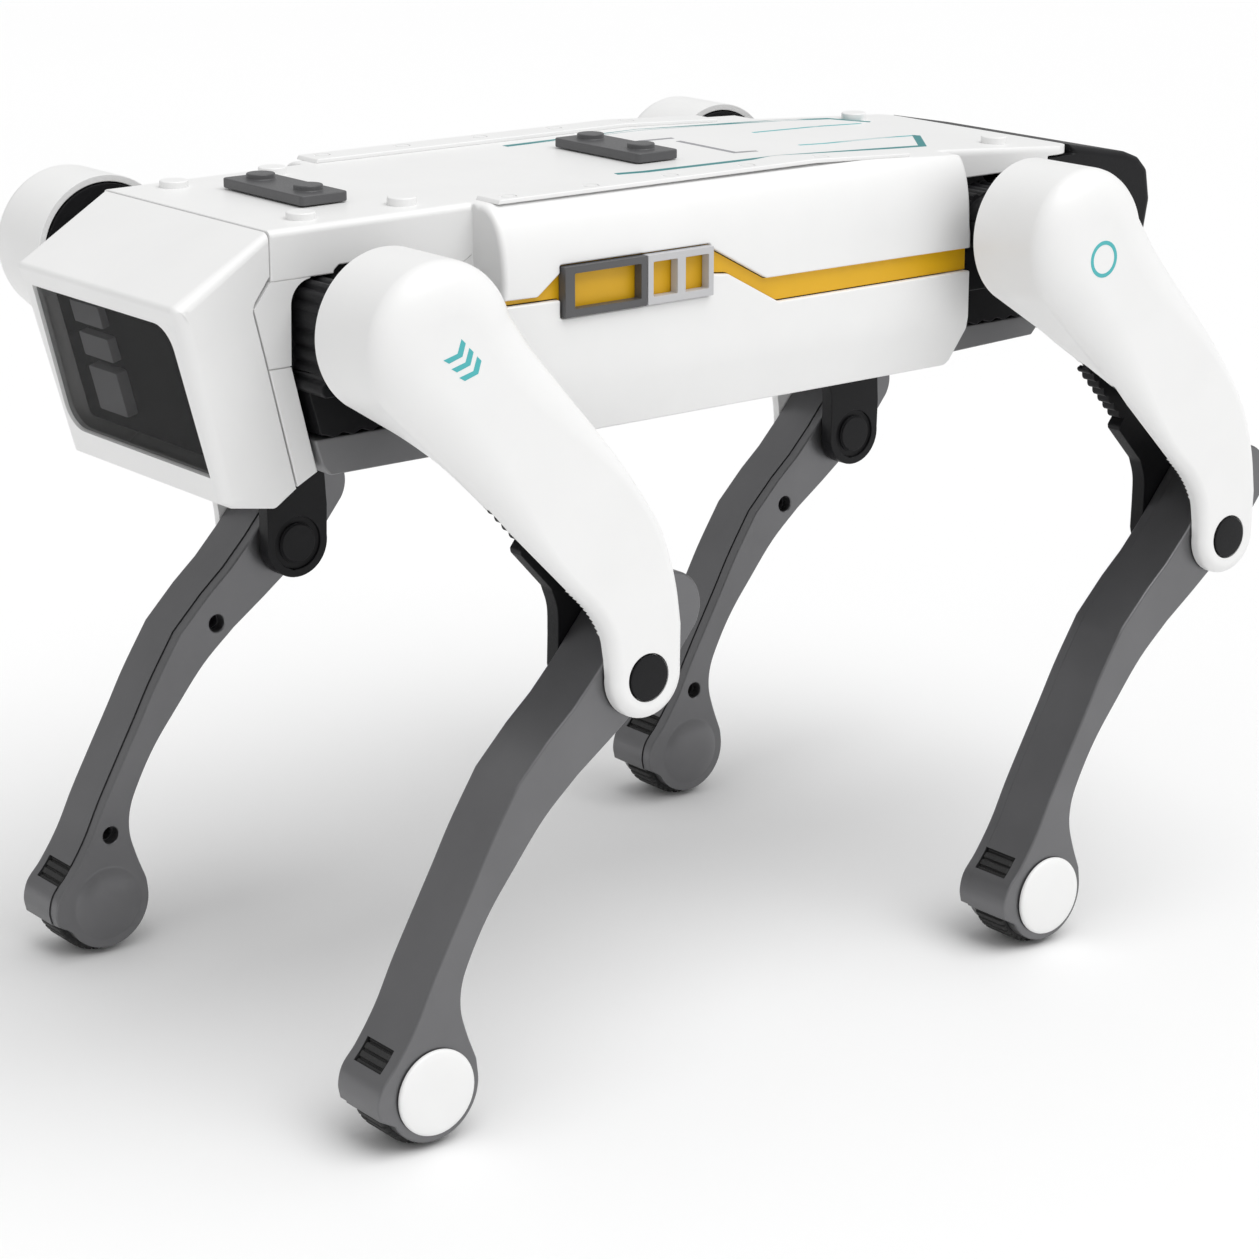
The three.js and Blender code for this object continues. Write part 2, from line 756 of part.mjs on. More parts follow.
place("upper_shell", upperShell(), WHITE);
placePair("side_panel", sidePanel(), WHITE);
placePair("stripe", stripe(), YELLOW);
placePair("dark_window_frame", windowFrame(-35.3, -10.6, [[-32.4, -12.4]]), GREY);
placePair("light_window_frame", windowFrame(-10.3, 10.2, [[-8.6, -1.2], [1.4, 8.6]]), LIGHT_GREY);
placePair("deck_rail", rail(), WHITE);
place("front_stud_plate", studPlate(-80.2, DECK_Z + 0.1), GREY);
place("middle_stud_plate", studPlate(19.7, DECK_Z + 0.3), GREY);
place("head_cover", headCover(), WHITE);
place("head_shell", headShell(), WHITE);
place("visor", visor(), GLASS);
place("display_blocks", displayBlocks(), GREY);
place("tail_cap", tailCap(), BLACK);
place("belly_tray", bellyTray(), GREY);
place("battery_door", batteryDoor(), GREY);
place("chassis", chassis(), BLACK);
place("front_gearbox", gearbox(HIPS.front), BLACK);
place("rear_gearbox", gearbox(HIPS.rear), BLACK);
place("battery_pack", block(-15.5, 15.5, -34, 24, TRAY_FLOOR + 2, 176, 2), YELLOW);
place("circuit_board", circuitBoard(), GREEN);
place("speaker", speaker(), STEEL);
place("power_switch", powerSwitch(), BLACK);
place("charge_socket", chargeSocket(), STEEL);

export default toy;
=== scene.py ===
"""A four-legged robot dog toy: white shells over black frames, grey calves, a dark visor and yellow side stripes."""
import json
import math

import bmesh
import bpy
from mathutils import Matrix, Vector

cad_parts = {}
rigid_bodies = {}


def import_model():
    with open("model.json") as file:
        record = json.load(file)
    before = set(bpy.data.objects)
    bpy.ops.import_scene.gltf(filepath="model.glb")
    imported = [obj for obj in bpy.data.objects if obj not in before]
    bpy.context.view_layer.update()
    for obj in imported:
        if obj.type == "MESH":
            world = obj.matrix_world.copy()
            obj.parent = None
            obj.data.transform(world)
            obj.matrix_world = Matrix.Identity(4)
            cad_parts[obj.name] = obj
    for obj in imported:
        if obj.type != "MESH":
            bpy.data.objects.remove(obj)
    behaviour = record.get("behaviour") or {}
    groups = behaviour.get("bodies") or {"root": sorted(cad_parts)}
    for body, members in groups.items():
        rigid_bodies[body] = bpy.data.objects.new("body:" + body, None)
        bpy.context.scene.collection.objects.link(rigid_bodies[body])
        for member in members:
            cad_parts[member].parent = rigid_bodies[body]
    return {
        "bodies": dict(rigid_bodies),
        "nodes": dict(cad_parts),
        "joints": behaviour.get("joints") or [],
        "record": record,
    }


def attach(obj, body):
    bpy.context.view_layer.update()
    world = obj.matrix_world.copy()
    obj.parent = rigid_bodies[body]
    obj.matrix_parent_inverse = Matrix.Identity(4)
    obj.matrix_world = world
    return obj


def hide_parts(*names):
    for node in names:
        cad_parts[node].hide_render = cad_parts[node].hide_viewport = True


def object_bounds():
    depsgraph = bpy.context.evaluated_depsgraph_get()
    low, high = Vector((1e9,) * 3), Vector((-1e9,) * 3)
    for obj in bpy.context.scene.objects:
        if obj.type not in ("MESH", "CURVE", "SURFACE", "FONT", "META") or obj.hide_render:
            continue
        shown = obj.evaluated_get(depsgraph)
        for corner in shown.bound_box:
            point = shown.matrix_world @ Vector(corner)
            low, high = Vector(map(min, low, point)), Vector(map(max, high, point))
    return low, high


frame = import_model()
cad_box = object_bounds()
MM = 0.001

# ---- Places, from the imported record. Shapes below are drawn in millimetres. ----
JOINTS = {j["name"]: j for j in frame["joints"]}
ENDS = ("front", "rear")
SIDES = {"left": 1, "right": -1}


def joint_at(name):
    """A joint's point in the side view, [y, z] in millimetres."""
    _, y, z = JOINTS[name]["pos_m"]
    return y / MM, z / MM


HIP = {end: joint_at(f"{end}_left_hip") for end in ENDS}
KNEE = tuple(a - b for a, b in zip(joint_at("front_left_knee"), HIP["front"]))
FOOT = tuple(a - b for a, b in zip(joint_at("front_left_roller_spin"), HIP["front"]))
# Body shapes are drawn along the body from the middle of the footprint, 6 mm ahead of the hips' middle.
HIP_STATION = 6
STATION_SHIFT = (HIP["front"][0] + HIP["rear"][0]) / 2 - HIP_STATION

# Distances from the toy's middle plane.
BODY_HALF = 37
SIDE_HALF = 49.5
FRAME_IN = 61.5
COVER_IN = 62
CHEEK_IN = 66
CALF_SPLIT = 69.7
ROLLER_IN, ROLLER_OUT = 70.2, 80.6
CHEEK_OUT = 84.5
THIGH_OUT = 88.9
WALL = 2
GAP = 0.3
HIP_RADIUS = 19.1
ROLLER_RADIUS = 14.1

# Heights and stations of the body.
DECK_Z = 210.5
DECK_FRONT, DECK_REAR = -108, 147.5
SIDE_FRONT, SIDE_REAR = -52, 98.4
SIDE_FLOOR = 153.5
HEAD_FRONT, TAIL_REAR = -133.4, 180


# ---- Outlines ----
def arc(a, b, radius, start, end, steps):
    """Points on an arc about [a, b], angles in degrees."""
    angles = [math.radians(start + (end - start) * k / steps) for k in range(steps + 1)]
    return [(a + radius * math.cos(t), b + radius * math.sin(t)) for t in angles]


def rounded(corners, steps=6):
    """A closed outline; a corner given with a third number is rounded by that radius."""
    points = []
    for i, corner in enumerate(corners):
        here = Vector(corner[:2])
        if len(corner) < 3:
            points.append(tuple(here))
            continue
        to_last = (Vector(corners[i - 1][:2]) - here).normalized()
        to_next = (Vector(corners[(i + 1) % len(corners)][:2]) - here).normalized()
        half = math.acos(max(-1, min(1, to_last.dot(to_next)))) / 2
        centre = here + (to_last + to_next).normalized() * corner[2] / math.sin(half)
        start = here + to_last * corner[2] / math.tan(half) - centre
        turn = -math.copysign(math.pi - 2 * half, to_last.x * to_next.y - to_last.y * to_next.x)
        for k in range(steps + 1):
            c, s = math.cos(turn * k / steps), math.sin(turn * k / steps)
            points.append((centre.x + start.x * c - start.y * s, centre.y + start.x * s + start.y * c))
    return points


def smooth_run(points, steps=5):
    """An open curve through the points, which are evenly rounded (centripetal spline)."""
    p = [Vector(q) for q in points]
    p = [2 * p[0] - p[1], *p, 2 * p[-1] - p[-2]]
    out = []
    for a, b, c, d in zip(p, p[1:], p[2:], p[3:]):
        t1 = max((b - a).length ** 0.5, 1e-6)
        t2 = t1 + max((c - b).length ** 0.5, 1e-6)
        t3 = t2 + max((d - c).length ** 0.5, 1e-6)
        for k in range(steps):
            t = t1 + (t2 - t1) * k / steps
            ab = a.lerp(b, t / t1)
            bc = b.lerp(c, (t - t1) / (t2 - t1))
            cd = c.lerp(d, (t - t2) / (t3 - t2))
            abc = ab.lerp(bc, t / t2)
            bcd = bc.lerp(cd, (t - t1) / (t3 - t1))
            out.append(tuple(abc.lerp(bcd, (t - t1) / (t2 - t1))))
    return [*out, tuple(p[-2])]


def area(corners):
    return sum(a[0] * b[1] - b[0] * a[1] for a, b in zip(corners, [*corners[1:], corners[0]])) / 2


def inset(corners, distance):
    """A closed outline moved inwards; distance is one number, or one for each corner."""
    each = distance if isinstance(distance, list) else [distance] * len(corners)
    side = 1 if area(corners) > 0 else -1
    out = []
    for i, corner in enumerate(corners):
        here = Vector(corner[:2])
        before = (here - Vector(corners[i - 1][:2])).normalized()
        after = (Vector(corners[(i + 1) % len(corners)][:2]) - here).normalized()
        along = (before + after).normalized()
        reach = each[i] / max(0.5, math.sqrt(max(0, (1 + before.dot(after)) / 2)))
        out.append((here.x - side * along.y * reach, here.y + side * along.x * reach))
    return out


def moved(corners, by):
    return [(c[0] + by[0], c[1] + by[1], *c[2:]) for c in corners]


# ---- Solids, in millimetres until they are placed ----
ALONG_X = Matrix(((0, 0, 1), (1, 0, 0), (0, 1, 0)))  # outlines are [y, z]
ALONG_Y = Matrix(((1, 0, 0), (0, 0, 1), (0, 1, 0)))  # outlines are [x, z]
ALONG_Z = Matrix.Identity(3)  # outlines are [x, y]


def from_rings(rings, frame=ALONG_X, origin=(0, 0, 0)):
    """A closed solid skinned over rings; a ring is (outline, height), or has one height for each corner."""
    bm = bmesh.new()
    loops = []
    for corners, height in rings:
        heights = height if isinstance(height, list) else [height] * len(corners)
        places = [frame @ Vector((c[0], c[1], h)) + Vector(origin) for c, h in zip(corners, heights)]
        loops.append([bm.verts.new(p) for p in places])
    count = len(loops[0])
    for low, high in zip(loops, loops[1:]):
        for i in range(count):
            bm.faces.new((low[i], low[(i + 1) % count], high[(i + 1) % count], high[i]))
    bm.faces.new(list(reversed(loops[0])))
    bm.faces.new(loops[-1])
    bmesh.ops.recalc_face_normals(bm, faces=bm.faces)
    mesh = bpy.data.meshes.new("solid")
    bm.to_mesh(mesh)
    bm.free()
    return linked(mesh)


def linked(mesh):
    solid = bpy.data.objects.new("solid", mesh)
    bpy.context.scene.collection.objects.link(solid)
    return solid


def prism(corners, low, high, frame=ALONG_X, origin=(0, 0, 0)):
    outline = rounded(corners) if any(len(c) > 2 for c in corners) else corners
    return from_rings([(outline, low), (outline, high)], frame, origin)


def pillow(corners, low, high, rim, depth=None, steps=6, both=False):
    """A prism whose high edge, or both edges, roll over: rim is how far in, depth how far down."""
    rims = rim if isinstance(rim, list) else [rim] * len(corners)
    depths = depth if isinstance(depth, list) else [depth or rims[0]] * len(corners)
    turns = [math.pi / 2 * k / steps for k in range(steps + 1)]
    top = [
        (inset(corners, [r * (1 - math.cos(t)) for r in rims]), [high - d * (1 - math.sin(t)) for d in depths])
        for t in turns
    ]
    bottom = [(corners, low)]
    if both:
        bottom = [
            (inset(corners, [r * (1 - math.cos(t)) for r in rims]), [low + d * (1 - math.sin(t)) for d in depths])
            for t in reversed(turns)
        ]
    return from_rings([*bottom, *top])


def rectangle(a0, a1, b0, b1, *radius):
    return [(a0, b0, *radius), (a1, b0, *radius), (a1, b1, *radius), (a0, b1, *radius)]


def block(x0, x1, y0, y1, z0, z1, *radius):
    return prism(rectangle(x0, x1, y0, y1, *radius), z0, z1, ALONG_Z)


def disc(radius, at, x0, x1, sides=64):
    return prism(arc(*at, radius, 0, 360 - 360 / sides, sides - 1), x0, x1)


def pillar(radius, x, y, z0, z1, sides=48):
    return prism(arc(x, y, radius, 0, 360 - 360 / sides, sides - 1), z0, z1, ALONG_Z)


def turned(profile, at, sides=64):
    """A solid turned about an axis along X at [y, z]; the profile is [radius, x], from face to face."""
    return from_rings([(arc(*at, r, 0, 360 - 360 / sides, sides - 1), x) for r, x in profile])


def combine(operation, solid, tools):
    for tool in tools:
        step = solid.modifiers.new("step", "BOOLEAN")
        step.operation = operation
        step.solver = "EXACT"
        step.object = tool
    baked = bpy.data.meshes.new_from_object(solid.evaluated_get(bpy.context.evaluated_depsgraph_get()))
    solid.modifiers.clear()
    solid.data = baked
    for tool in tools:
        bpy.data.objects.remove(tool)
    return solid


def cut(solid, *tools):
    return combine("DIFFERENCE", solid, tools)


def join(solid, *others):
    return combine("UNION", solid, others)


def common(solid, *others):
    return combine("INTERSECT", solid, others)


SHARP = math.radians(28)


def soften(solid, width, segments=3, pick=None):
    """Rounds the sharp edges; pick(middle, edge) may give each edge a width of its own, in millimetres."""
    bm = bmesh.new()
    bm.from_mesh(solid.data)
    bmesh.ops.remove_doubles(bm, verts=bm.verts, dist=0.002)
    bmesh.ops.dissolve_degenerate(bm, edges=bm.edges, dist=0.002)
    weights = bm.edges.layers.float.get("bevel_weight_edge") or bm.edges.layers.float.new("bevel_weight_edge")
    widest = 1e-6
    chosen = {}
    for edge in bm.edges:
        if len(edge.link_faces) != 2 or edge.calc_face_angle(0) < SHARP:
            continue
        middle = (edge.verts[0].co + edge.verts[1].co) / 2
        chosen[edge] = width if pick is None else pick(middle, edge)
        widest = max(widest, chosen[edge])
    for edge, value in chosen.items():
        edge[weights] = value / widest
    bm.to_mesh(solid.data)
    bm.free()
    bevel = solid.modifiers.new("soft_edges", "BEVEL")
    bevel.limit_method = "WEIGHT"
    bevel.width = widest
    bevel.segments = segments
    bevel.use_clamp_overlap = False
    bevel.miter_outer = "MITER_ARC"
    return closed(applied(solid))


def closed(solid):
    """Takes away loose edges and fills the pinholes that a bevel can leave where faces meet in one plane."""
    bm = bmesh.new()
    bm.from_mesh(solid.data)
    bmesh.ops.delete(bm, geom=[e for e in bm.edges if not e.link_faces], context="EDGES")
    rim = [e for e in bm.edges if len(e.link_faces) == 1]
    if rim:
        bmesh.ops.holes_fill(bm, edges=rim, sides=8)
    bmesh.ops.delete(bm, geom=[v for v in bm.verts if not v.link_faces], context="VERTS")
    bm.to_mesh(solid.data)
    bm.free()
    return solid


def applied(solid):
    baked = bpy.data.meshes.new_from_object(solid.evaluated_get(bpy.context.evaluated_depsgraph_get()))
    solid.modifiers.clear()
    solid.data = baked
    return solid


def reshape(solid, move):
    """Moves each corner of a solid by a function of its place."""
    for v in solid.data.vertices:
        v.co = move(v.co.copy())
    return solid


# ---- Materials ----
def node_of(tree, kind, **inputs):
    node = tree.nodes.new(kind)
    for name, value in inputs.items():
        node.inputs[name].default_value = value
    return node


def finish_of(name, colour, rough, metal=0.0, fine=0.06, grain=2600, mottle=0.03, patch=45, **shader_values):
    """A moulded or painted surface: colour that drifts a little, uneven gloss and a fine moulded grain."""
    material = bpy.data.materials.new(name)
    material.use_nodes = True
    tree = material.node_tree
    tree.nodes.clear()
    output = tree.nodes.new("ShaderNodeOutputMaterial")
    shader = node_of(tree, "ShaderNodeBsdfPrincipled", Metallic=metal)
    for key, value in shader_values.items():
        shader.inputs[key.replace("_", " ")].default_value = value
    place = tree.nodes.new("ShaderNodeTexCoord")
    drift = node_of(tree, "ShaderNodeTexNoise", Scale=patch, Detail=4.0, Roughness=0.55)
    grit = node_of(tree, "ShaderNodeTexNoise", Scale=grain, Detail=2.0, Roughness=0.6)
    for texture in (drift, grit):
        tree.links.new(place.outputs["Object"], texture.inputs["Vector"])
    tint = tree.nodes.new("ShaderNodeValToRGB")
    dark = [c * (1 - mottle) for c in colour]
    light = [min(1, c * (1 + mottle)) for c in colour]
    tint.color_ramp.elements[0].position, tint.color_ramp.elements[1].position = 0.3, 0.7
    tint.color_ramp.elements[0].color = (*dark, 1)
    tint.color_ramp.elements[1].color = (*light, 1)
    tree.links.new(drift.outputs["Fac"], tint.inputs["Fac"])
    gloss = node_of(tree, "ShaderNodeMapRange")
    gloss.inputs["From Min"].default_value, gloss.inputs["From Max"].default_value = 0.3, 0.7
    gloss.inputs["To Min"].default_value, gloss.inputs["To Max"].default_value = rough * 0.88, min(1, rough * 1.14)
    tree.links.new(grit.outputs["Fac"], gloss.inputs["Value"])
    bump = node_of(tree, "ShaderNodeBump", Strength=fine, Distance=0.0002)
    tree.links.new(grit.outputs["Fac"], bump.inputs["Height"])
    tree.links.new(tint.outputs["Color"], shader.inputs["Base Color"])
    tree.links.new(gloss.outputs["Result"], shader.inputs["Roughness"])
    tree.links.new(bump.outputs["Normal"], shader.inputs["Normal"])
    tree.links.new(shader.outputs["BSDF"], output.inputs["Surface"])
    return material


MATERIALS = {
    "white_shell": finish_of("white_plastic", (0.845, 0.845, 0.841), 0.36, fine=0.03, mottle=0.012),
    "black_frame": finish_of(
        "black_plastic", (0.008, 0.008, 0.009), 0.45, fine=0.16, grain=1900, mottle=0.2, Specular_IOR_Level=0.2
    ),
    "gunmetal": finish_of("grey_metal", (0.17, 0.17, 0.175), 0.33, metal=0.8, fine=0.1, grain=3200, mottle=0.05),
    "dark_grey": finish_of("dark_grey_plastic", (0.085, 0.085, 0.088), 0.42, fine=0.08, mottle=0.06),
    "light_grey": finish_of("light_grey_plastic", (0.52, 0.52, 0.53), 0.4, fine=0.05, mottle=0.02),
    "yellow_stripe": finish_of("yellow_plastic", (0.74, 0.41, 0.004), 0.42, fine=0.05, mottle=0.05),
    "visor_dark": finish_of(
        "smoked_lens", (0.003, 0.003, 0.0035), 0.07, fine=0.0, mottle=0.04, Alpha=0.34, Specular_IOR_Level=0.1
    ),
    "roller_rubber": finish_of("black_rubber", (0.016, 0.016, 0.016), 0.62, fine=0.3, grain=1500, mottle=0.2),
    "battery_wrap": finish_of("battery_sleeve", (0.10, 0.22, 0.45), 0.3, fine=0.02, mottle=0.05),
    "board_green": finish_of("board_resist", (0.02, 0.16, 0.07), 0.35, fine=0.06, grain=900, mottle=0.15),
    "speaker_steel": finish_of("speaker_steel", (0.42, 0.42, 0.44), 0.3, metal=0.9, fine=0.05, mottle=0.04),
    "socket_brass": finish_of("socket_brass", (0.62, 0.45, 0.20), 0.3, metal=0.95, fine=0.04, mottle=0.05),
}
DISPLAY_BLACK = finish_of("display_black", (0.004, 0.004, 0.004), 0.6, fine=0.0, mottle=0.1, Specular_IOR_Level=0.1)
DISPLAY_GREY = finish_of("display_grey", (0.32, 0.32, 0.33), 0.5, fine=0.04, mottle=0.05)
TRAY_GREY = finish_of("tray_grey", (0.19, 0.19, 0.195), 0.45, fine=0.08, mottle=0.05)
PRINTS = {
    "teal": finish_of("teal_print", (0.07, 0.44, 0.46), 0.45, fine=0.02, mottle=0.05),
    "deep_teal": finish_of("deep_teal_print", (0.01, 0.22, 0.23), 0.45, fine=0.02, mottle=0.05),
    "grey": finish_of("grey_print", (0.30, 0.30, 0.32), 0.45, fine=0.02, mottle=0.04),
}
for row in frame["record"]["subparts"]:
    carried = frame["nodes"][row["node"]]
    carried.data.materials.clear()
    carried.data.materials.append(MATERIALS[row["material_slot"]])


# ---- Placing ----
def place(solid, name, body, slot, shift=(0, 0), side=1, replaces=(), material=None):
    """Puts a finished copy of a solid in the part's frame, in metres; side -1 mirrors it to the right."""
    mesh = solid.data.copy()
    scale = Matrix.Diagonal((side * MM, MM, MM, 1))
    mesh.transform(Matrix.Translation((0, shift[0] * MM, shift[1] * MM)) @ scale)
    if side < 0:
        mesh.flip_normals()
    mesh.materials.clear()
    mesh.materials.append(material or MATERIALS[slot])
    mesh.shade_smooth()
    mesh.set_sharp_from_angle(angle=math.radians(38))
    piece = bpy.data.objects.new(name, mesh)
    bpy.context.scene.collection.objects.link(piece)
    even = piece.modifiers.new("even_shading", "WEIGHTED_NORMAL")
    even.keep_sharp = True
    even.weight = 60
    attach(piece, body)
    if replaces:
        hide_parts(*replaces)
    return piece


def place_on_legs(solid, piece, part, slot, ends=ENDS, shown="fine"):
    """One copy of a leg's solid on each leg; part is the leg's body, such as thigh, or body itself."""
    for end in ends:
        for side, sign in SIDES.items():
            leg = f"{end}_{side}"
            body = "body" if part == "body" else f"{leg}_{part}"
            place(solid, f"{leg}_{piece}_{shown}", body, slot, HIP[end], sign, [f"{leg}_{piece}"])
    bpy.data.objects.remove(solid)


def place_on_body(solid, node, slot, replaces=None, **options):
    place(solid, f"{node}_fine", "body", slot, (STATION_SHIFT, 0), replaces=replaces or [node], **options)
    bpy.data.objects.remove(solid)


def place_both_sides(solid, node, slot):
    for side, sign in SIDES.items():
        place(solid, f"{node}_{side}_fine", "body", slot, (STATION_SHIFT, 0), sign, [f"{node}_{side}"])
    bpy.data.objects.remove(solid)


# ---- Legs, drawn about the hip axis ----
THIGH_REAR = smooth_run([(24, -3), (33.2, -14.6), (42.3, -26), (51.7, -39), (58.6, -50), (62.9, -63), (64.6, -74)])
KNEE_END = arc(KNEE[0] + 0.4, KNEE[1], 10.4, 6, -186, 30)
ROOT_FRONT = smooth_run([(43.4, -78), (42.2, -69), (38.6, -61.2), (34.2, -55), (26, -45.4), (18, -35.8), (7.4, -27.5)])
FACE_FRONT = smooth_run([(43.4, -80), (42.1, -73.6), (38.3, -67.3), (31.1, -60), (24, -52.6), (14.4, -42.2), (3.6, -30.4)])


def resampled(points, count):
    """An open run of points spread evenly along its own length."""
    lengths = [math.dist(a, b) for a, b in zip(points, points[1:])]
    out, i, done = [], 0, 0.0
    for k in range(count):
        at = sum(lengths) * k / (count - 1)
        while i < len(lengths) - 1 and done + lengths[i] < at:
            done += lengths[i]
            i += 1
        share = min(1, max(0, (at - done) / lengths[i]))
        out.append(tuple(Vector(points[i]).lerp(Vector(points[i + 1]), share)))
    return out


def thigh_outline(front, lowest):
    """The thigh's side view, with the same number of corners for each front edge."""
    return [
        *resampled(arc(0, 0, HIP_RADIUS, lowest, 18, 60), 60),
        *resampled([(HIP_RADIUS * math.cos(math.radians(16)), HIP_RADIUS * math.sin(math.radians(16))), *THIGH_REAR], 50),
        *KNEE_END,
        *resampled([*front, tuple(HIP_RADIUS * f(math.radians(lowest + 1)) for f in (math.cos, math.sin))], 60),
    ]


THIGH_ROOT = thigh_outline(ROOT_FRONT, 232)
THIGH_FACE = thigh_outline(FACE_FRONT, 227)


def near_hip(point):
    """1 round the hip, easing to 0 towards the knee."""
    share = (math.hypot(*point) - 16) / 52
    share = min(1, max(0, share))
    return 1 - share * share * (3 - 2 * share)


def fork_zone(drop):
    """Everything below this line is the fork that holds the knee."""
    return [(12.5, -31.3 - drop), (40, -50 - drop), (74, -52 - drop), (84, -110), (0, -110)]


WALL_TOP = 81.5


def thigh_cover():
    rims = [3.0 + 8.6 * near_hip(p) for p in THIGH_FACE]
    depths = [2.6 + 4.6 * near_hip(p) for p in THIGH_FACE]
    turns = [math.pi / 2 * k / 10 for k in range(11)]
    rings = [(THIGH_ROOT, COVER_IN)]
    for t in turns:
        heights = [THIGH_OUT - d * (1 - math.sin(t)) for d in depths]
        rings.append((inset(THIGH_FACE, [r * (1 - math.cos(t)) for r in rims]), heights))
    shell = cut(
        from_rings(rings),
        prism(inset(THIGH_ROOT, 1.8), COVER_IN - 8, WALL_TOP),
        prism(fork_zone(0), COVER_IN - 1, CHEEK_OUT),
        disc(5.9, KNEE, THIGH_OUT - 2.2, THIGH_OUT + 1),
        disc(3.3, KNEE, CHEEK_OUT - 1, THIGH_OUT + 1),
    )
    return soften(shell, 0.3, 2, lambda middle, edge: 0.12 if middle.x > THIGH_OUT - 0.1 else 0.3)


RIB_COUNT = 7
RIBS_FROM = Vector((35.4, -53.9))
RIBS_TO = Vector((21, -37.8))


def ribbed_edge(height=1.0, steps=5):
    """The scallops along the fork's front edge, from the knee's step up towards the hip."""
    pitch = (RIBS_TO - RIBS_FROM) / RIB_COUNT
    out = Vector((-pitch.y, pitch.x)).normalized()
    points = []
    for i in range(RIB_COUNT):
        for k in range(steps):
            swell = math.sin(math.pi * k / steps) ** 0.6
            points.append(tuple(RIBS_FROM + pitch * (i + 0.9 * k / steps) + out * height * swell))
    return points


def thigh_frame():
    plate = prism(inset(THIGH_ROOT, 2.1), FRAME_IN, CHEEK_IN)
    cheek_outline = [
        (30, -34),
        (56, -46),
        *smooth_run([(58.2, -50.3), (62.3, -63.2), (63.4, -76)]),
        *arc(KNEE[0], KNEE[1], 9.5, 6, -172, 24),
        *smooth_run([(44.5, -79), (44.3, -72), (42.6, -66.8)]),
        (33.9, -57.2),
        (33.7, -56.1),
        *ribbed_edge(),
    ]
    cheek = common(prism(cheek_outline, FRAME_IN, CHEEK_IN), prism(fork_zone(GAP), FRAME_IN - 1, CHEEK_IN + 1))
    core = cut(
        prism(inset(THIGH_ROOT, 2.1), CHEEK_IN - 1, 81),
        prism(fork_zone(-0.5), CHEEK_IN, CHEEK_OUT + 1),
        disc(28.6, KNEE, CHEEK_IN, CHEEK_OUT + 1),
    )
    body = join(plate, cheek, core)
    hub = [(6.4, CHEEK_IN), (6.4, 57), (6.4, 30.6), (5, 30.2), (5, 27.3)]
    body = join(body, turned(list(reversed(hub)), (0, 0), 40))
    pivot = cut(disc(7.2, KNEE, FRAME_IN - 1, FRAME_IN + 0.8), disc(5.5, KNEE, FRAME_IN - 2, FRAME_IN + 2))
    body = cut(body, pivot, disc(3.3, KNEE, FRAME_IN + 1.5, CHEEK_IN + 1))
    body = join(body, disc(5.2, KNEE, FRAME_IN - 0.5, FRAME_IN + 1))
    return soften(body, 0.3, 2)


def knee_pin():
    """A pin with a plain flat head, faintly crowned."""
    head = [(5.5, THIGH_OUT - 1.6), (5.5, 88.95), (5.38, 89.15), (5.1, 89.24), (3, 89.28), (0.5, 89.3)]
    return turned([(0.5, 64), (3, 64), (3, THIGH_OUT - 1.6), *head], KNEE, 72)


LOBE = (KNEE[0] - FOOT[0] + 10.2, KNEE[1] - FOOT[1] + 13.6)
CALF_TOP = [*arc(*LOBE, 9.3, -33.5, 146.5, 28), (48.2, 92.5), (41, 85), (34, 79)]
CALF_FRONT = smooth_run(
    [(25, 70), (17, 57.5), (12, 48.5), (6, 38), (0, 27.3), (-5, 17.5), (-10.5, 9.4), (-14.6, 4.6), (-15.8, 0), (-15.2, -3.6)]
)
CALF_REAR = smooth_run(
    [(12.2, 5), (9.6, 12), (8, 18.5), (8.6, 25), (12.1, 32.9), (16.8, 40.7), (23.8, 49.6), (32.6, 60), (42.3, 68.4)]
)
CALF = [*CALF_TOP, *CALF_FRONT, *arc(0, 0, 12.7, 208, 365, 32), *CALF_REAR, (52.1, 75.3), (59.5, 80.8), (67, 85.6)]


def calf_shell():
    split = CALF_SPLIT + GAP
    shell = cut(
        prism(moved(CALF, FOOT), split, CHEEK_OUT - GAP),
        disc(ROLLER_RADIUS + 0.5, FOOT, split - 1, ROLLER_OUT + GAP, 96),
        disc(3.3, KNEE, split - 1, CHEEK_OUT),
        disc(2.3, FOOT, split - 1, CHEEK_OUT),
        *[disc(2, moved([at], FOOT)[0], split - 1, split + 6, 32) for at in CALF_SCREWS],
    )
    return soften(shell, 0.6, 4, lambda middle, edge: 0.6 if middle.x > CHEEK_OUT - 2 * GAP and outside_holes(middle) else 0)


def outside_holes(middle):
    """True for the edges of the calf's own outline, away from its axle and pin holes."""
    return min(math.dist(middle.yz, KNEE), math.dist(middle.yz, FOOT)) > 4


CALF_SCREWS = [(36.8, 70.8), (1.9, 18.7)]
PLATE_IN = CHEEK_IN + 2 * GAP


def calf_plate():
    plate = join(
        prism(moved(inset(CALF, 0.3), FOOT), PLATE_IN, CALF_SPLIT),
        turned([(0.5, 64.8), (4, 64.9), (7, 65.3), (9.6, 66.1), (11, 67.0), (11.6, 68.2), (11.6, CALF_SPLIT - 0.2)], FOOT),
    )
    plate = cut(
        plate,
        *[disc(2.3, moved([at], FOOT)[0], PLATE_IN - 1, CALF_SPLIT + 1, 32) for at in CALF_SCREWS],
        disc(3.3, KNEE, CHEEK_IN - 1, CALF_SPLIT + 1),
        disc(2.3, FOOT, 67.5, CALF_SPLIT + 1),
    )
    far_from_foot = 12.9
    return soften(
        plate,
        0.5,
        3,
        lambda middle, edge: 0.5 if middle.x < PLATE_IN + 0.1 and math.dist(middle.yz, FOOT) > far_from_foot else 0,
    )


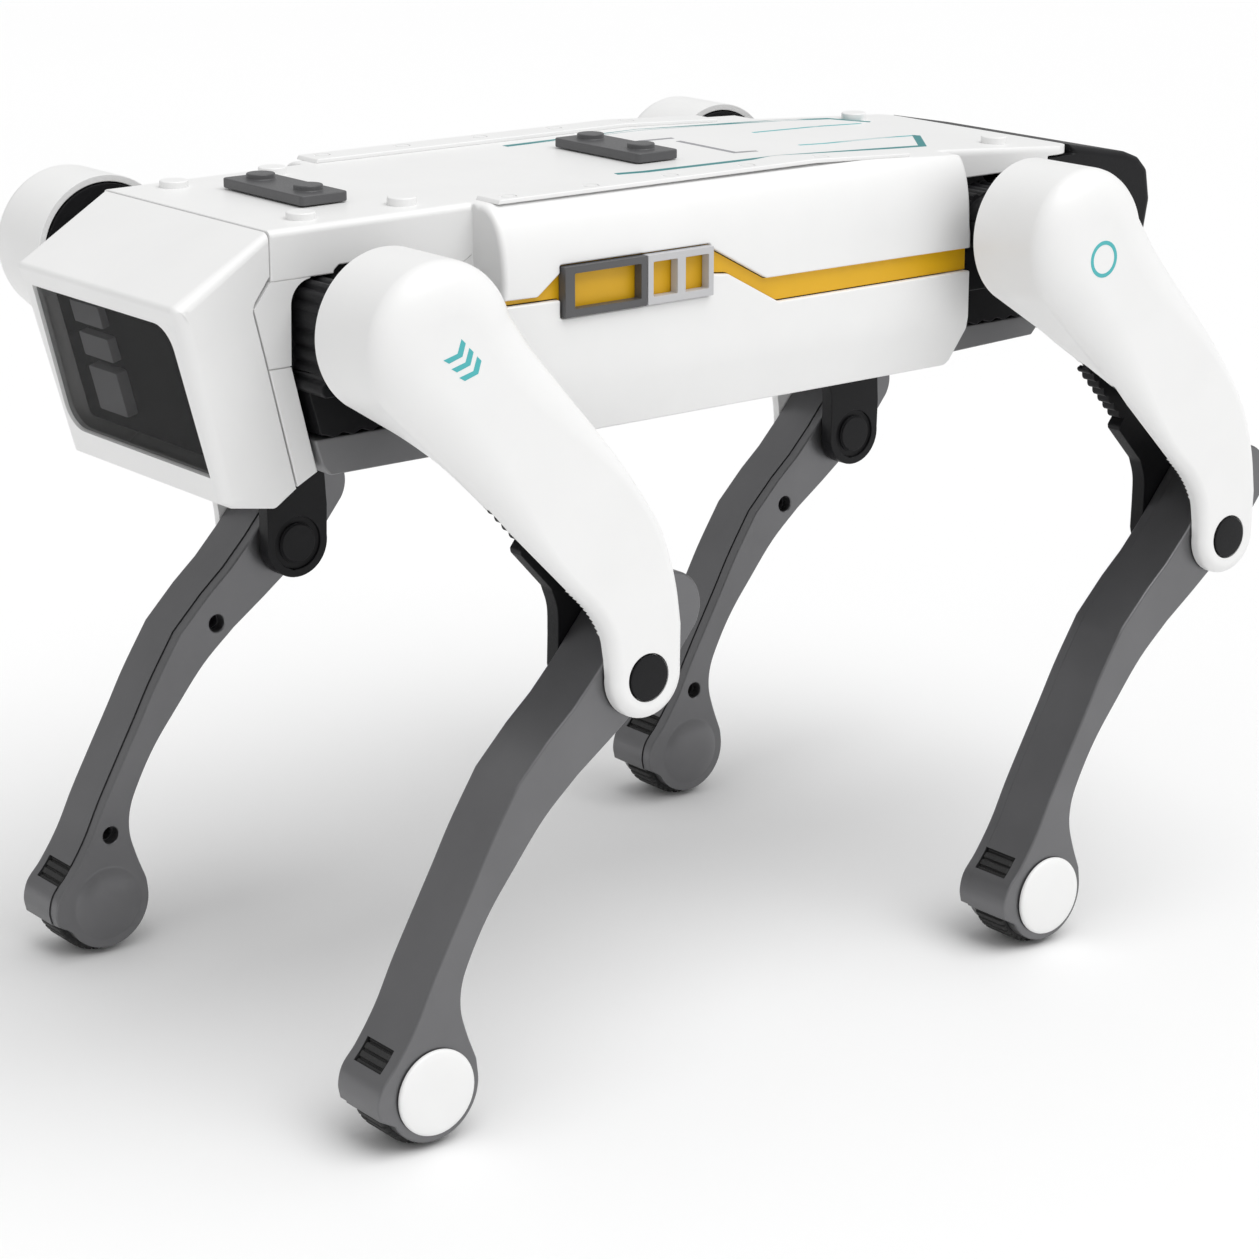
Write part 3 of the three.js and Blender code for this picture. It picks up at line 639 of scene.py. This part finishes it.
def foot_cap():
    button = [(2, 68), (2, 84.6), (10.6, 84.6), (10.6, 84.95), (10.45, 85.3), (10.0, 85.6), (8.6, 85.85), (5, 85.97), (0.5, 86)]
    return applied(turned(button, FOOT, 80))


TREAD_RIBS = 40
TREAD_EDGE = 0.97


def foot_roller():
    pitch = 360 / TREAD_RIBS
    tread = []
    for i in range(TREAD_RIBS):
        tread += arc(*FOOT, ROLLER_RADIUS, (i - 0.3) * pitch, (i + 0.3) * pitch, 2)
        tread += arc(*FOOT, ROLLER_RADIUS - 0.6, (i + 0.44) * pitch, (i + 0.56) * pitch, 1)
    narrow = [(FOOT[0] + (y - FOOT[0]) * TREAD_EDGE, FOOT[1] + (z - FOOT[1]) * TREAD_EDGE) for y, z in tread]
    rings = [(narrow, ROLLER_IN), (tread, ROLLER_IN + 0.5), (tread, ROLLER_OUT - 0.5), (narrow, ROLLER_OUT)]
    return cut(from_rings(rings), disc(2.3, FOOT, ROLLER_IN - 1, ROLLER_OUT + 1))


HOUSING_PITCH = 3.6
HOUSING_OUT = 46.5
HOUSING_FRONT = -7.2
HOUSING_TOP = 8.3


def ribbed_housing_outline(rear):
    """The hip housing's side view: ribs up its front face, round the top corner and along the top."""
    radius = 5.5
    corner = (HOUSING_FRONT + radius, HOUSING_TOP - radius)
    path = [(HOUSING_FRONT, -17.5 + 0.6 * k) for k in range(34)]
    path += arc(*corner, radius, 180, 90, 14)
    path += [(corner[0] + 0.6 * k, HOUSING_TOP) for k in range(1, int((rear - corner[0]) / 0.6))]
    points, run = [], 0.0
    for i, here in enumerate(path):
        if i:
            run += math.dist(here, path[i - 1])
        after = path[min(i + 1, len(path) - 1)]
        before = path[max(i - 1, 0)]
        along = (Vector(after) - Vector(before)).normalized()
        dip = max(0.0, math.cos(2 * math.pi * run / HOUSING_PITCH) - 0.2) * 1.2
        points.append((here[0] + along.y * dip, here[1] - along.x * dip))
    return [*points, (rear, HOUSING_TOP), (rear, -17.5)]


def hip_housing(rear):
    flange = common(disc(14.5, (0, 0), 30.3, 34.6), block(29, 60, -30, 30, -30, 14))
    upper = prism(ribbed_housing_outline(24), 31, HOUSING_OUT)
    teeth = [(y, -29.3 if i % 2 else -28.3) for i, y in enumerate([-1.5 + 2.6 * k for k in range(int((rear + 1.5) / 2.6))])]
    lower = prism([(HOUSING_FRONT + 1.2, -16), (-2.4, -28.4), *teeth, (rear, -28.4), (rear, -16)], 31, 38.2)
    hub = turned([(7.2, 30.3), (7.2, 57), (5.3, 57.4)], (0, 0))
    whole = join(flange, upper, lower, hub)
    return soften(cut(whole, disc(6.6, (0, 0), 29, 60)), 0.4, 2)


def build_legs():
    place_on_legs(thigh_cover(), "thigh_cover", "thigh", "white_shell")
    place_on_legs(thigh_frame(), "thigh_frame", "thigh", "black_frame")
    place_on_legs(knee_pin(), "knee_pin", "thigh", "black_frame")
    place_on_legs(calf_shell(), "calf_shell", "calf", "gunmetal")
    place_on_legs(calf_plate(), "calf_plate", "calf", "gunmetal")
    place_on_legs(foot_cap(), "foot_cap", "calf", "white_shell")
    place_on_legs(foot_roller(), "foot_roller", "roller", "roller_rubber")
    place_on_legs(hip_housing(41.2), "hip_bearing", "body", "black_frame", ["front"])
    place_on_legs(hip_housing(32), "hip_bearing", "body", "black_frame", ["rear"])


# ---- Body shell ----
DECK_LINE = [(DECK_FRONT, 210), (SIDE_FRONT, DECK_Z), (50, DECK_Z), (102, DECK_Z - 2.5), (DECK_REAR, DECK_Z - 5.5)]
STRIPE_TOP = [
    (SIDE_FRONT, 188.9),
    (-42.3, 188.7),
    (-35.6, 193.6),
    (-35.6, 195.5),
    (10.5, 195.5),
    (10.5, 194.6),
    (28.6, 184.8, 2),
    (SIDE_REAR, 184.4),
]
STRIPE_BOTTOM = [
    (SIDE_FRONT, 187.4),
    (-35.6, 187.2),
    (-35.6, 182.7),
    (10.5, 182.7),
    (10.5, 187.9),
    (16.2, 187.3),
    (32.6, 178.4, 2),
    (SIDE_REAR, 178.4),
]


def deck_height(y):
    """The deck's height at a station."""
    for (y0, z0), (y1, z1) in zip(DECK_LINE, DECK_LINE[1:]):
        if y <= y1:
            return z0 + (z1 - z0) * (max(y, y0) - y0) / (y1 - y0)
    return DECK_LINE[-1][1]


def shoulders(offset, foot=170):
    """Half-round squarish shoulders falling to straight sides."""
    half = [
        (39 + (SIDE_HALF - 39 - offset) * abs(u) ** 0.77, 188 + (DECK_Z - 188 - offset) * v ** 0.77)
        for u, v in arc(0, 0, 1, 0, 90, 26)
    ]
    left = [(SIDE_HALF - offset, foot), *half]
    return [*left, *[(-x, z) for x, z in reversed(left)]]


def under_deck(drop, extra):
    ends = [(DECK_REAR + extra, DECK_Z - 5.5 - drop), (DECK_REAR + extra, 140), (DECK_FRONT - extra, 140)]
    return [*[(y, z - drop) for y, z in DECK_LINE], *ends, (DECK_FRONT - extra, 210 - drop)]


def upper_shell():
    inner = BODY_HALF - WALL
    deck = [
        (-BODY_HALF, DECK_FRONT),
        (BODY_HALF, DECK_FRONT),
        (BODY_HALF, DECK_REAR, 5),
        (-BODY_HALF, DECK_REAR, 5),
    ]
    outside = join(
        prism(shoulders(0), SIDE_FRONT, SIDE_REAR, ALONG_Y),
        prism(deck, 198.3, DECK_Z + 1, ALONG_Z),
        block(-BODY_HALF, BODY_HALF, -68, SIDE_FRONT + 1, 189, 199),
    )
    outside = common(outside, prism(under_deck(0, 0), -60, 60))
    inside = join(
        prism(shoulders(WALL), SIDE_FRONT + WALL, SIDE_REAR - WALL, ALONG_Y),
        block(-inner, inner, DECK_FRONT - 1, DECK_REAR + 1, 140, DECK_Z),
    )
    inside = common(inside, prism(under_deck(WALL, 2), -60, 60))
    below = prism(
        [(SIDE_FRONT - 1, 150), (SIDE_FRONT - 1, 188.9), *STRIPE_TOP, (SIDE_REAR + 1, 184.4), (SIDE_REAR + 1, 150)],
        -60,
        60,
    )
    raised_hem = prism([(-91, 190), (-91, 199, 0.8), (-89.6, 200.2, 0.8), (-69, 200.2, 3), (-69, 190)], -60, 60)
    rear_hem = prism([(SIDE_REAR + 0.2, 190), (SIDE_REAR + 0.2, 200), (DECK_REAR + 1, 200), (DECK_REAR + 1, 190)], -60, 60)
    over_tail = block(-60, 60, 138.5, DECK_REAR + 1, 190, 202.8)
    shell = cut(outside, inside, below, raised_hem, rear_hem, over_tail)

    def pick(middle, edge):
        outer = abs(middle.x) > inner + 1.2 or middle.z > deck_height(middle.y) - 0.6
        if not outer:
            return 0.25
        across = abs(edge.verts[0].co.y - edge.verts[1].co.y) < 0.5
        if middle.z > 203 and middle.y > DECK_REAR - 8:
            return 0
        if middle.z > 203 and abs(middle.x) > 36 and not across and not SIDE_FRONT <= middle.y <= SIDE_REAR:
            return 1.8
        if abs(middle.y - SIDE_FRONT) < 0.2 or abs(middle.y - SIDE_REAR) < 0.2:
            return 1.5 if abs(middle.x) > 38.5 and middle.z > 190 else 0.4
        return 0.45

    return soften(shell, 0.5, 4, pick)


STUDS = [(-93.8, 211.8), (-65.8, 212.3), (126.7, 208.4)]


def deck_studs():
    """The white studs on the deck, standing on it in pairs."""
    pillars = [pillar(3.5, side * 28, y, deck_height(y) - 1.2, z) for y, z in STUDS for side in (-1, 1)]
    return soften(join(*pillars), 0.35, 3, lambda middle, edge: 0.4 if middle.z > deck_height(middle.y) else 0.05)


def side_panel():
    face = [*STRIPE_BOTTOM, (SIDE_REAR, 163, 3), (SIDE_REAR - 5, SIDE_FLOOR, 3), (SIDE_FRONT, SIDE_FLOOR)]

    def section(offset):
        return [
            (37.1, 200),
            (SIDE_HALF - offset, 200),
            (SIDE_HALF - offset, 166),
            (SIDE_HALF - 2.5 - offset, SIDE_FLOOR + offset),
            (37.1, SIDE_FLOOR + offset),
        ]

    panel = common(prism(face, 37.2, 60), prism(section(0), SIDE_FRONT, SIDE_REAR, ALONG_Y))
    panel = cut(panel, prism(section(WALL), SIDE_FRONT + WALL, SIDE_REAR - WALL - 5, ALONG_Y))

    def pick(middle, edge):
        upright = abs(edge.verts[0].co.y - edge.verts[1].co.y) < 0.5
        if middle.x > 42 and upright and abs(middle.y - SIDE_FRONT) < 0.2:
            return 1.4
        return 0.5 if middle.x > 44 else 0.2

    return soften(panel, 0.5, 3, pick)


STRIPE_SINK = 1.5


def stripe():
    """The yellow band that shows between the shell and the side panel."""
    below = [*reversed(moved(rounded(STRIPE_BOTTOM), (0, 0)))]
    above = rounded(STRIPE_TOP)
    band = prism([(y, z - 0.25) for y, z in above] + [(y, z + 0.25) for y, z in below], 30, 60)
    layer = cut(
        prism(shoulders(STRIPE_SINK), SIDE_FRONT + 0.6, SIDE_REAR - 0.6, ALONG_Y),
        prism(shoulders(STRIPE_SINK + 1.6, 169), SIDE_FRONT - 5, SIDE_REAR + 5, ALONG_Y),
    )
    return soften(common(layer, band), 0.1, 2)


FRAME_OUT = SIDE_HALF + 1.5


def window_frame(start, end, panes):
    openings = [block(30, FRAME_OUT + 1, a, b, 184.9, 193.4) for a, b in panes]
    body = cut(block(SIDE_HALF - WALL + 0.7, FRAME_OUT, start, end, 183, 195.2), *openings)
    return soften(body, 0.22, 2)


RAIL_RINGS = [-43.5 + 24.5 * k for k in range(5)]


def rail():
    """A thin strip along each edge of the deck, with five faint rings pressed into it."""
    sink = 0.05
    top = 1.05
    side = [
        (-49, DECK_Z - sink),
        (50, DECK_Z - sink),
        (82, deck_height(82) - sink),
        (82, deck_height(82) + 0.9),
        (50, DECK_Z + top),
        (-48.4, DECK_Z + top),
    ]
    strip = soften(prism(side, 34, 43.2), 0.3, 3)
    rings = []
    for y in RAIL_RINGS:
        low = deck_height(y) + top - 0.25
        rings.append(cut(pillar(2.2, 39.6, y, low, low + 2, 32), pillar(1.7, 39.6, y, low - 1, low + 3, 32)))
    return cut(strip, *rings)


def stud_plate(y, z):
    plate = join(
        block(-17.5, 17.5, y - 6.6, y + 6.6, z, z + 2.4, 1.2),
        pillar(3.5, -10.4, y, z + 2, z + 3.8),
        pillar(3.5, 10.4, y, z + 2, z + 3.8),
    )
    return soften(plate, 0.35, 3)


# ---- Head ----
HEAD_COVER = [
    (DECK_FRONT + 3, DECK_Z + 1.1),
    (HEAD_FRONT, 194.9, 1.6),
    (-132, 191, 2),
    (-121.2, 148),
    (-118, 146.4),
    (-107.5, 145.2, 2),
    (-101.8, 149),
    (-109.3, 178.4),
    (-113.2, 193, 4),
    (DECK_FRONT - 0.4, 199.5),
    (DECK_FRONT + 3, 199.5),
]
HEAD_SHELL = [
    (-101.4, 149.4),
    (-95.9, 152.2),
    (-102.9, 177.8),
    (-102.9, 192),
    *arc(-96.9, 192.2, 6, 180, 96, 10),
    (-97.5, 198.3),
    (-108.3, 198.3),
    (-112.7, 192.6),
    (-108.9, 178.4),
]
HEAD_CAVITY = [
    (-80, 153.4),
    (-80, 206),
    (-108.9, 206),
    (-130.4, 193.6),
    (-129.8, 191),
    (-119.4, 149.6),
    (-117.6, 148.4),
    (-107.8, 147.2),
    (-98.6, 153.4),
]
BEZEL_TILT = math.atan2(10.8, 43)
BEZEL_UP = Vector((0, -math.sin(BEZEL_TILT), math.cos(BEZEL_TILT)))
BEZEL_OUT = Vector((0, -math.cos(BEZEL_TILT), -math.sin(BEZEL_TILT)))
BEZEL = Matrix((Vector((1, 0, 0)), BEZEL_UP, BEZEL_OUT)).transposed()
BEZEL_AT = (0, -127.2, 172.2)


def on_bezel(corners, low, high):
    return prism(corners, low, high, BEZEL, BEZEL_AT)


def pane(margin):
    return [
        (margin - 31, 18.6 - margin),
        (31 - margin, 18.6 - margin, 6 - margin),
        (32 - margin, margin - 18.6),
        (margin - 32, margin - 18.6, 6 - margin),
    ]


def narrowed(co):
    """The head's sides draw in a little towards the chin."""
    if abs(co.x) > 33.5:
        share = min(1, max(0, (192 - co.z) / 46))
        co.x = math.copysign(abs(co.x) - 1.8 * share, co.x)
    return co


def head_rim(point):
    """How far the head cover's side edges roll in: full at the front, tight at the seam behind."""
    y, z = point
    if y > -114 and z < 205:
        return 0.3
    return 1.8 if y > -112 else 3.0


COVER_CAVITY_HALF = 32.4


def head_cover():
    outline = rounded(HEAD_COVER)
    rims = [head_rim(p) for p in outline]
    cover = cut(
        pillow(outline, -BODY_HALF, BODY_HALF, rims, rims, 7, both=True),
        prism(HEAD_CAVITY, -COVER_CAVITY_HALF, COVER_CAVITY_HALF),
        on_bezel(pane(0), -6, 3),
        block(-60, 60, DECK_FRONT - 0.4, DECK_FRONT + 9, 196, 220),
    )

    def pick(middle, edge):
        on_face = abs((middle - Vector((middle.x, *BEZEL_AT[1:]))).dot(BEZEL_OUT)) < 0.05
        return 0.3 if on_face and abs(middle.x) < COVER_CAVITY_HALF else 0

    return reshape(soften(cover, 0.3, 3, pick), narrowed)


SEAM_Z = 178


def head_shell():
    """The white cheek behind the cover, with one fine seam across it."""
    shell = cut(
        prism(HEAD_SHELL, -BODY_HALF, BODY_HALF),
        prism(HEAD_CAVITY, WALL - BODY_HALF, BODY_HALF - WALL),
        block(BODY_HALF - 0.5, BODY_HALF + 1, -120, -90, SEAM_Z, SEAM_Z + 0.4),
        block(-BODY_HALF - 1, 0.5 - BODY_HALF, -120, -90, SEAM_Z, SEAM_Z + 0.4),
    )

    def pick(middle, edge):
        on_side = abs(abs(middle.x) - BODY_HALF) < 0.05
        return 0.35 if on_side and middle.y > -108 and middle.z < 176 else 0

    return reshape(soften(shell, 0.3, 3, pick), narrowed)


def visor():
    return soften(on_bezel(pane(0.35), -2, -0.6), 0.25, 2)


def display_backing():
    """The black plate behind the visor."""
    return on_bezel(rectangle(-31.5, 31.5, -17.6, 17.4, 2), -6.8, -5.6)


def display_blocks():
    """Three stacked blocks on the backing plate, seen through the visor."""
    blocks = join(
        on_bezel(rectangle(-21.5, -8.3, 9.6, 15.2, 0.4), -5.6, -3.6),
        on_bezel(rectangle(-20.3, -7, 1.4, 7.4, 0.4), -5.6, -3.2),
        on_bezel(rectangle(-19, -6, -12.2, -0.9, 0.5), -5.6, -2.6),
    )
    return soften(blocks, 0.2, 2)


# ---- Tail and belly ----
TAIL_SIDE = [
    (147.9, 205),
    (170, 200.9, 6),
    (175, 199, 3),
    (178.5, 195.5, 3),
    (TAIL_REAR, 187, 4),
    (178.3, 178, 4),
    (163, 157.5, 2),
    (158, 155.6, 2),
    (140.4, 155),
    (139, 202.3),
    (147.9, 202.3),
]


def tail_cap():
    half = BODY_HALF - 0.3
    outline = rounded(TAIL_SIDE)
    cap = cut(
        prism(outline, -half, half),
        prism(inset(TAIL_SIDE, 2.2), WALL - half, half - WALL),
        block(WALL - half, half - WALL, 130, 142.5, 157.5, 201.5),
    )

    def pick(middle, edge):
        return 2.2 if abs(abs(middle.x) - half) < 0.1 and middle.y > 147 else 0.3

    return soften(cap, 0.3, 4, pick)


TRAY_TOP, TRAY_FLOOR = 160, 151
TRAY_HALF = BODY_HALF - 0.4
SWITCH_Y = 58
DOOR = (-18, 18, -36, 30)


def belly_tray():
    side = [
        (-95.2, TRAY_FLOOR + 2.6),
        (-93, TRAY_FLOOR),
        (20, TRAY_FLOOR),
        (135, TRAY_FLOOR + 3.4),
        (137.5, TRAY_FLOOR + 6),
        (137.5, TRAY_TOP),
        (-97.2, TRAY_TOP),
    ]
    inner = TRAY_HALF - WALL
    tray = cut(
        prism(side, -TRAY_HALF, TRAY_HALF),
        block(-inner, inner, -92, 133, TRAY_FLOOR + 5.6, TRAY_TOP + 1),
        block(-inner, inner, -90, 40, TRAY_FLOOR + WALL, TRAY_TOP + 1),
        block(*DOOR, TRAY_FLOOR - 1, TRAY_FLOOR + 3, 2),
        block(-3, 3, SWITCH_Y - 6, SWITCH_Y + 6, 140, TRAY_TOP),
        pillar(2.2, 12, SWITCH_Y, 140, TRAY_TOP),
    )
    return soften(tray, 0.5, 3)


def battery_door():
    """A lid with a row of four grip grooves at its rear end."""
    lid = block(GAP - 18, 18 - GAP, GAP - 36, 30 - GAP, TRAY_FLOOR, TRAY_FLOOR + 1.7, 2)
    grooves = [block(-8, 8, 17 + 2.6 * k, 18.3 + 2.6 * k, TRAY_FLOOR - 1, TRAY_FLOOR + 0.5, 0.3) for k in range(4)]
    return soften(cut(lid, *grooves), 0.22, 2)


def stroke(points, width):
    """The outline of an open line of one width, with mitred bends."""
    sides = ([], [])
    for i, point in enumerate(points):
        here = Vector(point)
        before = (here - Vector(points[i - 1])).normalized() if i else None
        after = (Vector(points[i + 1]) - here).normalized() if i < len(points) - 1 else None
        along = ((before or after) + (after or before)).normalized()
        reach = width / 2 / max(0.5, along.dot(after or before))
        for k, sign in enumerate((1, -1)):
            sides[k].append((here.x - sign * along.y * reach, here.y + sign * along.x * reach))
    return [*sides[0], *reversed(sides[1])]


PRINT_DEPTH = 0.05


def on_deck(points, width, step=4.0):
    """A printed line that follows the deck down to the tail."""
    fine = [points[0]]
    for a, b in zip(points, points[1:]):
        count = max(1, round(math.dist(a, b) / step))
        fine += [tuple(Vector(a).lerp(Vector(b), (k + 1) / count)) for k in range(count)]
    line = prism(stroke(fine, width), -PRINT_DEPTH, PRINT_DEPTH, ALONG_Z)
    return reshape(line, lambda co: Vector((co.x, co.y, co.z + deck_height(co.y))))


NEAR_LINE = [(25.3, 0), (27, 8), (28.6, 46), (27.5, 101), (8, 117)]
NEAR_RETURN = [(8, 117), (13.5, 79), (13.6, 70)]
FAR_LINE = [(-27.6, 5), (-28.4, 50), (-30.5, 90), (-31, 120), (-21.5, 127)]
FAR_RETURN = [(-12, 76), (-19, 121)]
CHEVRON = [(1.4, 2.4), (2.5, 1.3), (1.6, -1.5), (-2, -2.6), (-3.5, -1.7), (0.3, -0.7)]
CHEVRON_STEP = (2.07, -2.2)
RING_AT = (0.9, -3.4)


def build_prints():
    """The coloured lines on the deck, the chevrons on the front thighs and the ring on the rear ones."""
    lines = {
        "deck_line_left": (on_deck(NEAR_LINE, 2.2), "deep_teal"),
        "deck_return_left": (on_deck(NEAR_RETURN, 1.1), "teal"),
        "deck_line_right": (on_deck(FAR_LINE, 2.2), "deep_teal"),
        "deck_return_right": (on_deck(FAR_RETURN, 1.1), "teal"),
        "deck_mark_right": (on_deck([(-12.7, 37.8), (-11.4, 47.8)], 1.6), "grey"),
        "deck_mark_left": (on_deck([(-6.5, 45.6), (17.5, 44.8), (18.8, 51.1)], 1.6), "grey"),
    }
    for name, (line, colour) in lines.items():
        place(line, name, "body", "white_shell", (STATION_SHIFT, 0), material=PRINTS[colour])
        bpy.data.objects.remove(line)
    low, high = THIGH_OUT - PRINT_DEPTH, THIGH_OUT + PRINT_DEPTH
    chevrons = [prism(moved(CHEVRON, (k * CHEVRON_STEP[0], k * CHEVRON_STEP[1])), low, high) for k in range(3)]
    ring = cut(disc(4.7, RING_AT, low, high), disc(3.7, RING_AT, low - 1, high + 1))
    marks = [("front", join(*chevrons), "chevrons", "teal"), ("rear", ring, "ring", "teal")]
    for end, mark, name, colour in marks:
        for side, sign in SIDES.items():
            leg = f"{end}_{side}"
            place(mark, f"{leg}_thigh_{name}", f"{leg}_thigh", "white_shell", HIP[end], sign, material=PRINTS[colour])
        bpy.data.objects.remove(mark)


def build_body():
    place_on_body(upper_shell(), "upper_shell", "white_shell")
    studs = deck_studs()
    piece = place(studs, "deck_studs_fine", "body", "white_shell", (STATION_SHIFT, 0))
    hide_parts("upper_shell")
    bpy.data.objects.remove(studs)
    place_both_sides(side_panel(), "side_panel", "white_shell")
    place_both_sides(stripe(), "stripe", "yellow_stripe")
    place_both_sides(window_frame(-35.3, -10.6, [(-32.4, -12.4)]), "dark_window_frame", "dark_grey")
    place_both_sides(window_frame(-10.3, 10.2, [(-8.6, -1.2), (1.4, 8.6)]), "light_window_frame", "light_grey")
    place_both_sides(rail(), "deck_rail", "white_shell")
    place_on_body(stud_plate(-80.2, DECK_Z + 0.1), "front_stud_plate", "dark_grey")
    place_on_body(stud_plate(19.7, DECK_Z + 0.3), "middle_stud_plate", "dark_grey")
    place_on_body(head_cover(), "head_cover", "white_shell")
    place_on_body(head_shell(), "head_shell", "white_shell")
    place_on_body(visor(), "visor", "visor_dark")
    backing = display_backing()
    piece = place(backing, "display_backing_fine", "body", "dark_grey", (STATION_SHIFT, 0), material=DISPLAY_BLACK)
    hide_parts("display_blocks")
    bpy.data.objects.remove(backing)
    place_on_body(display_blocks(), "display_blocks", "dark_grey", material=DISPLAY_GREY)
    place_on_body(tail_cap(), "tail_cap", "black_frame")
    place_on_body(belly_tray(), "belly_tray", "dark_grey", material=TRAY_GREY)
    place_on_body(battery_door(), "battery_door", "dark_grey")


# ---- Studio ----
CAMERA_AZIMUTH, CAMERA_ELEVATION = math.radians(51.64), math.radians(16.99)
CAMERA_TARGET = Vector((-0.0012, 0.0019, 0.0822))
CAMERA_DISTANCE = 0.8945
LENS = 95.55


def add_camera():
    camera = bpy.data.objects.new("camera", bpy.data.cameras.new("camera"))
    bpy.context.scene.collection.objects.link(camera)
    camera.data.sensor_width = 36
    camera.data.lens = LENS
    flat = math.cos(CAMERA_ELEVATION)
    back = Vector((math.sin(CAMERA_AZIMUTH) * flat, -math.cos(CAMERA_AZIMUTH) * flat, math.sin(CAMERA_ELEVATION)))
    camera.location = CAMERA_TARGET + back * CAMERA_DISTANCE
    camera.rotation_mode = "QUATERNION"
    camera.rotation_quaternion = (-back).to_track_quat("-Z", "Y")
    camera.data.clip_start = 0.02
    bpy.context.scene.camera = camera


def add_sun(name, towards, strength, spread):
    """A broad soft light; towards is the way from the part to the light."""
    lamp = bpy.data.lights.new(name, "SUN")
    lamp.energy = strength
    lamp.angle = math.radians(spread)
    light = bpy.data.objects.new(name, lamp)
    bpy.context.scene.collection.objects.link(light)
    light.rotation_mode = "QUATERNION"
    light.rotation_quaternion = (-Vector(towards)).to_track_quat("-Z", "Y")


SURROUND = 0.56
BACKGROUND = 1.0


def add_world():
    """An even surround that lights the part, and plain white behind it."""
    world = bpy.data.worlds.new("studio")
    world.use_nodes = True
    tree = world.node_tree
    tree.nodes.clear()
    output = tree.nodes.new("ShaderNodeOutputWorld")
    mix = tree.nodes.new("ShaderNodeMixShader")
    path = tree.nodes.new("ShaderNodeLightPath")
    for socket, strength in ((1, SURROUND), (2, BACKGROUND)):
        glow = node_of(tree, "ShaderNodeBackground", Color=(1, 1, 1, 1), Strength=strength)
        tree.links.new(glow.outputs["Background"], mix.inputs[socket])
    tree.links.new(path.outputs["Is Camera Ray"], mix.inputs["Fac"])
    tree.links.new(mix.outputs["Shader"], output.inputs["Surface"])
    bpy.context.scene.world = world


def add_studio():
    bm = bmesh.new()
    bmesh.ops.create_circle(bm, cap_ends=True, radius=6, segments=96)
    mesh = bpy.data.meshes.new("floor")
    bm.to_mesh(mesh)
    bm.free()
    floor = bpy.data.objects.new("floor", mesh)
    bpy.context.scene.collection.objects.link(floor)
    floor.location.z = cad_box[0].z - 0.0002
    mesh.materials.append(finish_of("pale_floor", (0.9, 0.9, 0.9), 0.7, fine=0.0, mottle=0.004, patch=2))
    add_world()
    add_sun("key", (0.42, 0.12, 0.9), 2.05, 60)
    bpy.context.scene.view_settings.view_transform = "Standard"


build_legs()
build_body()
build_prints()
add_camera()
add_studio()
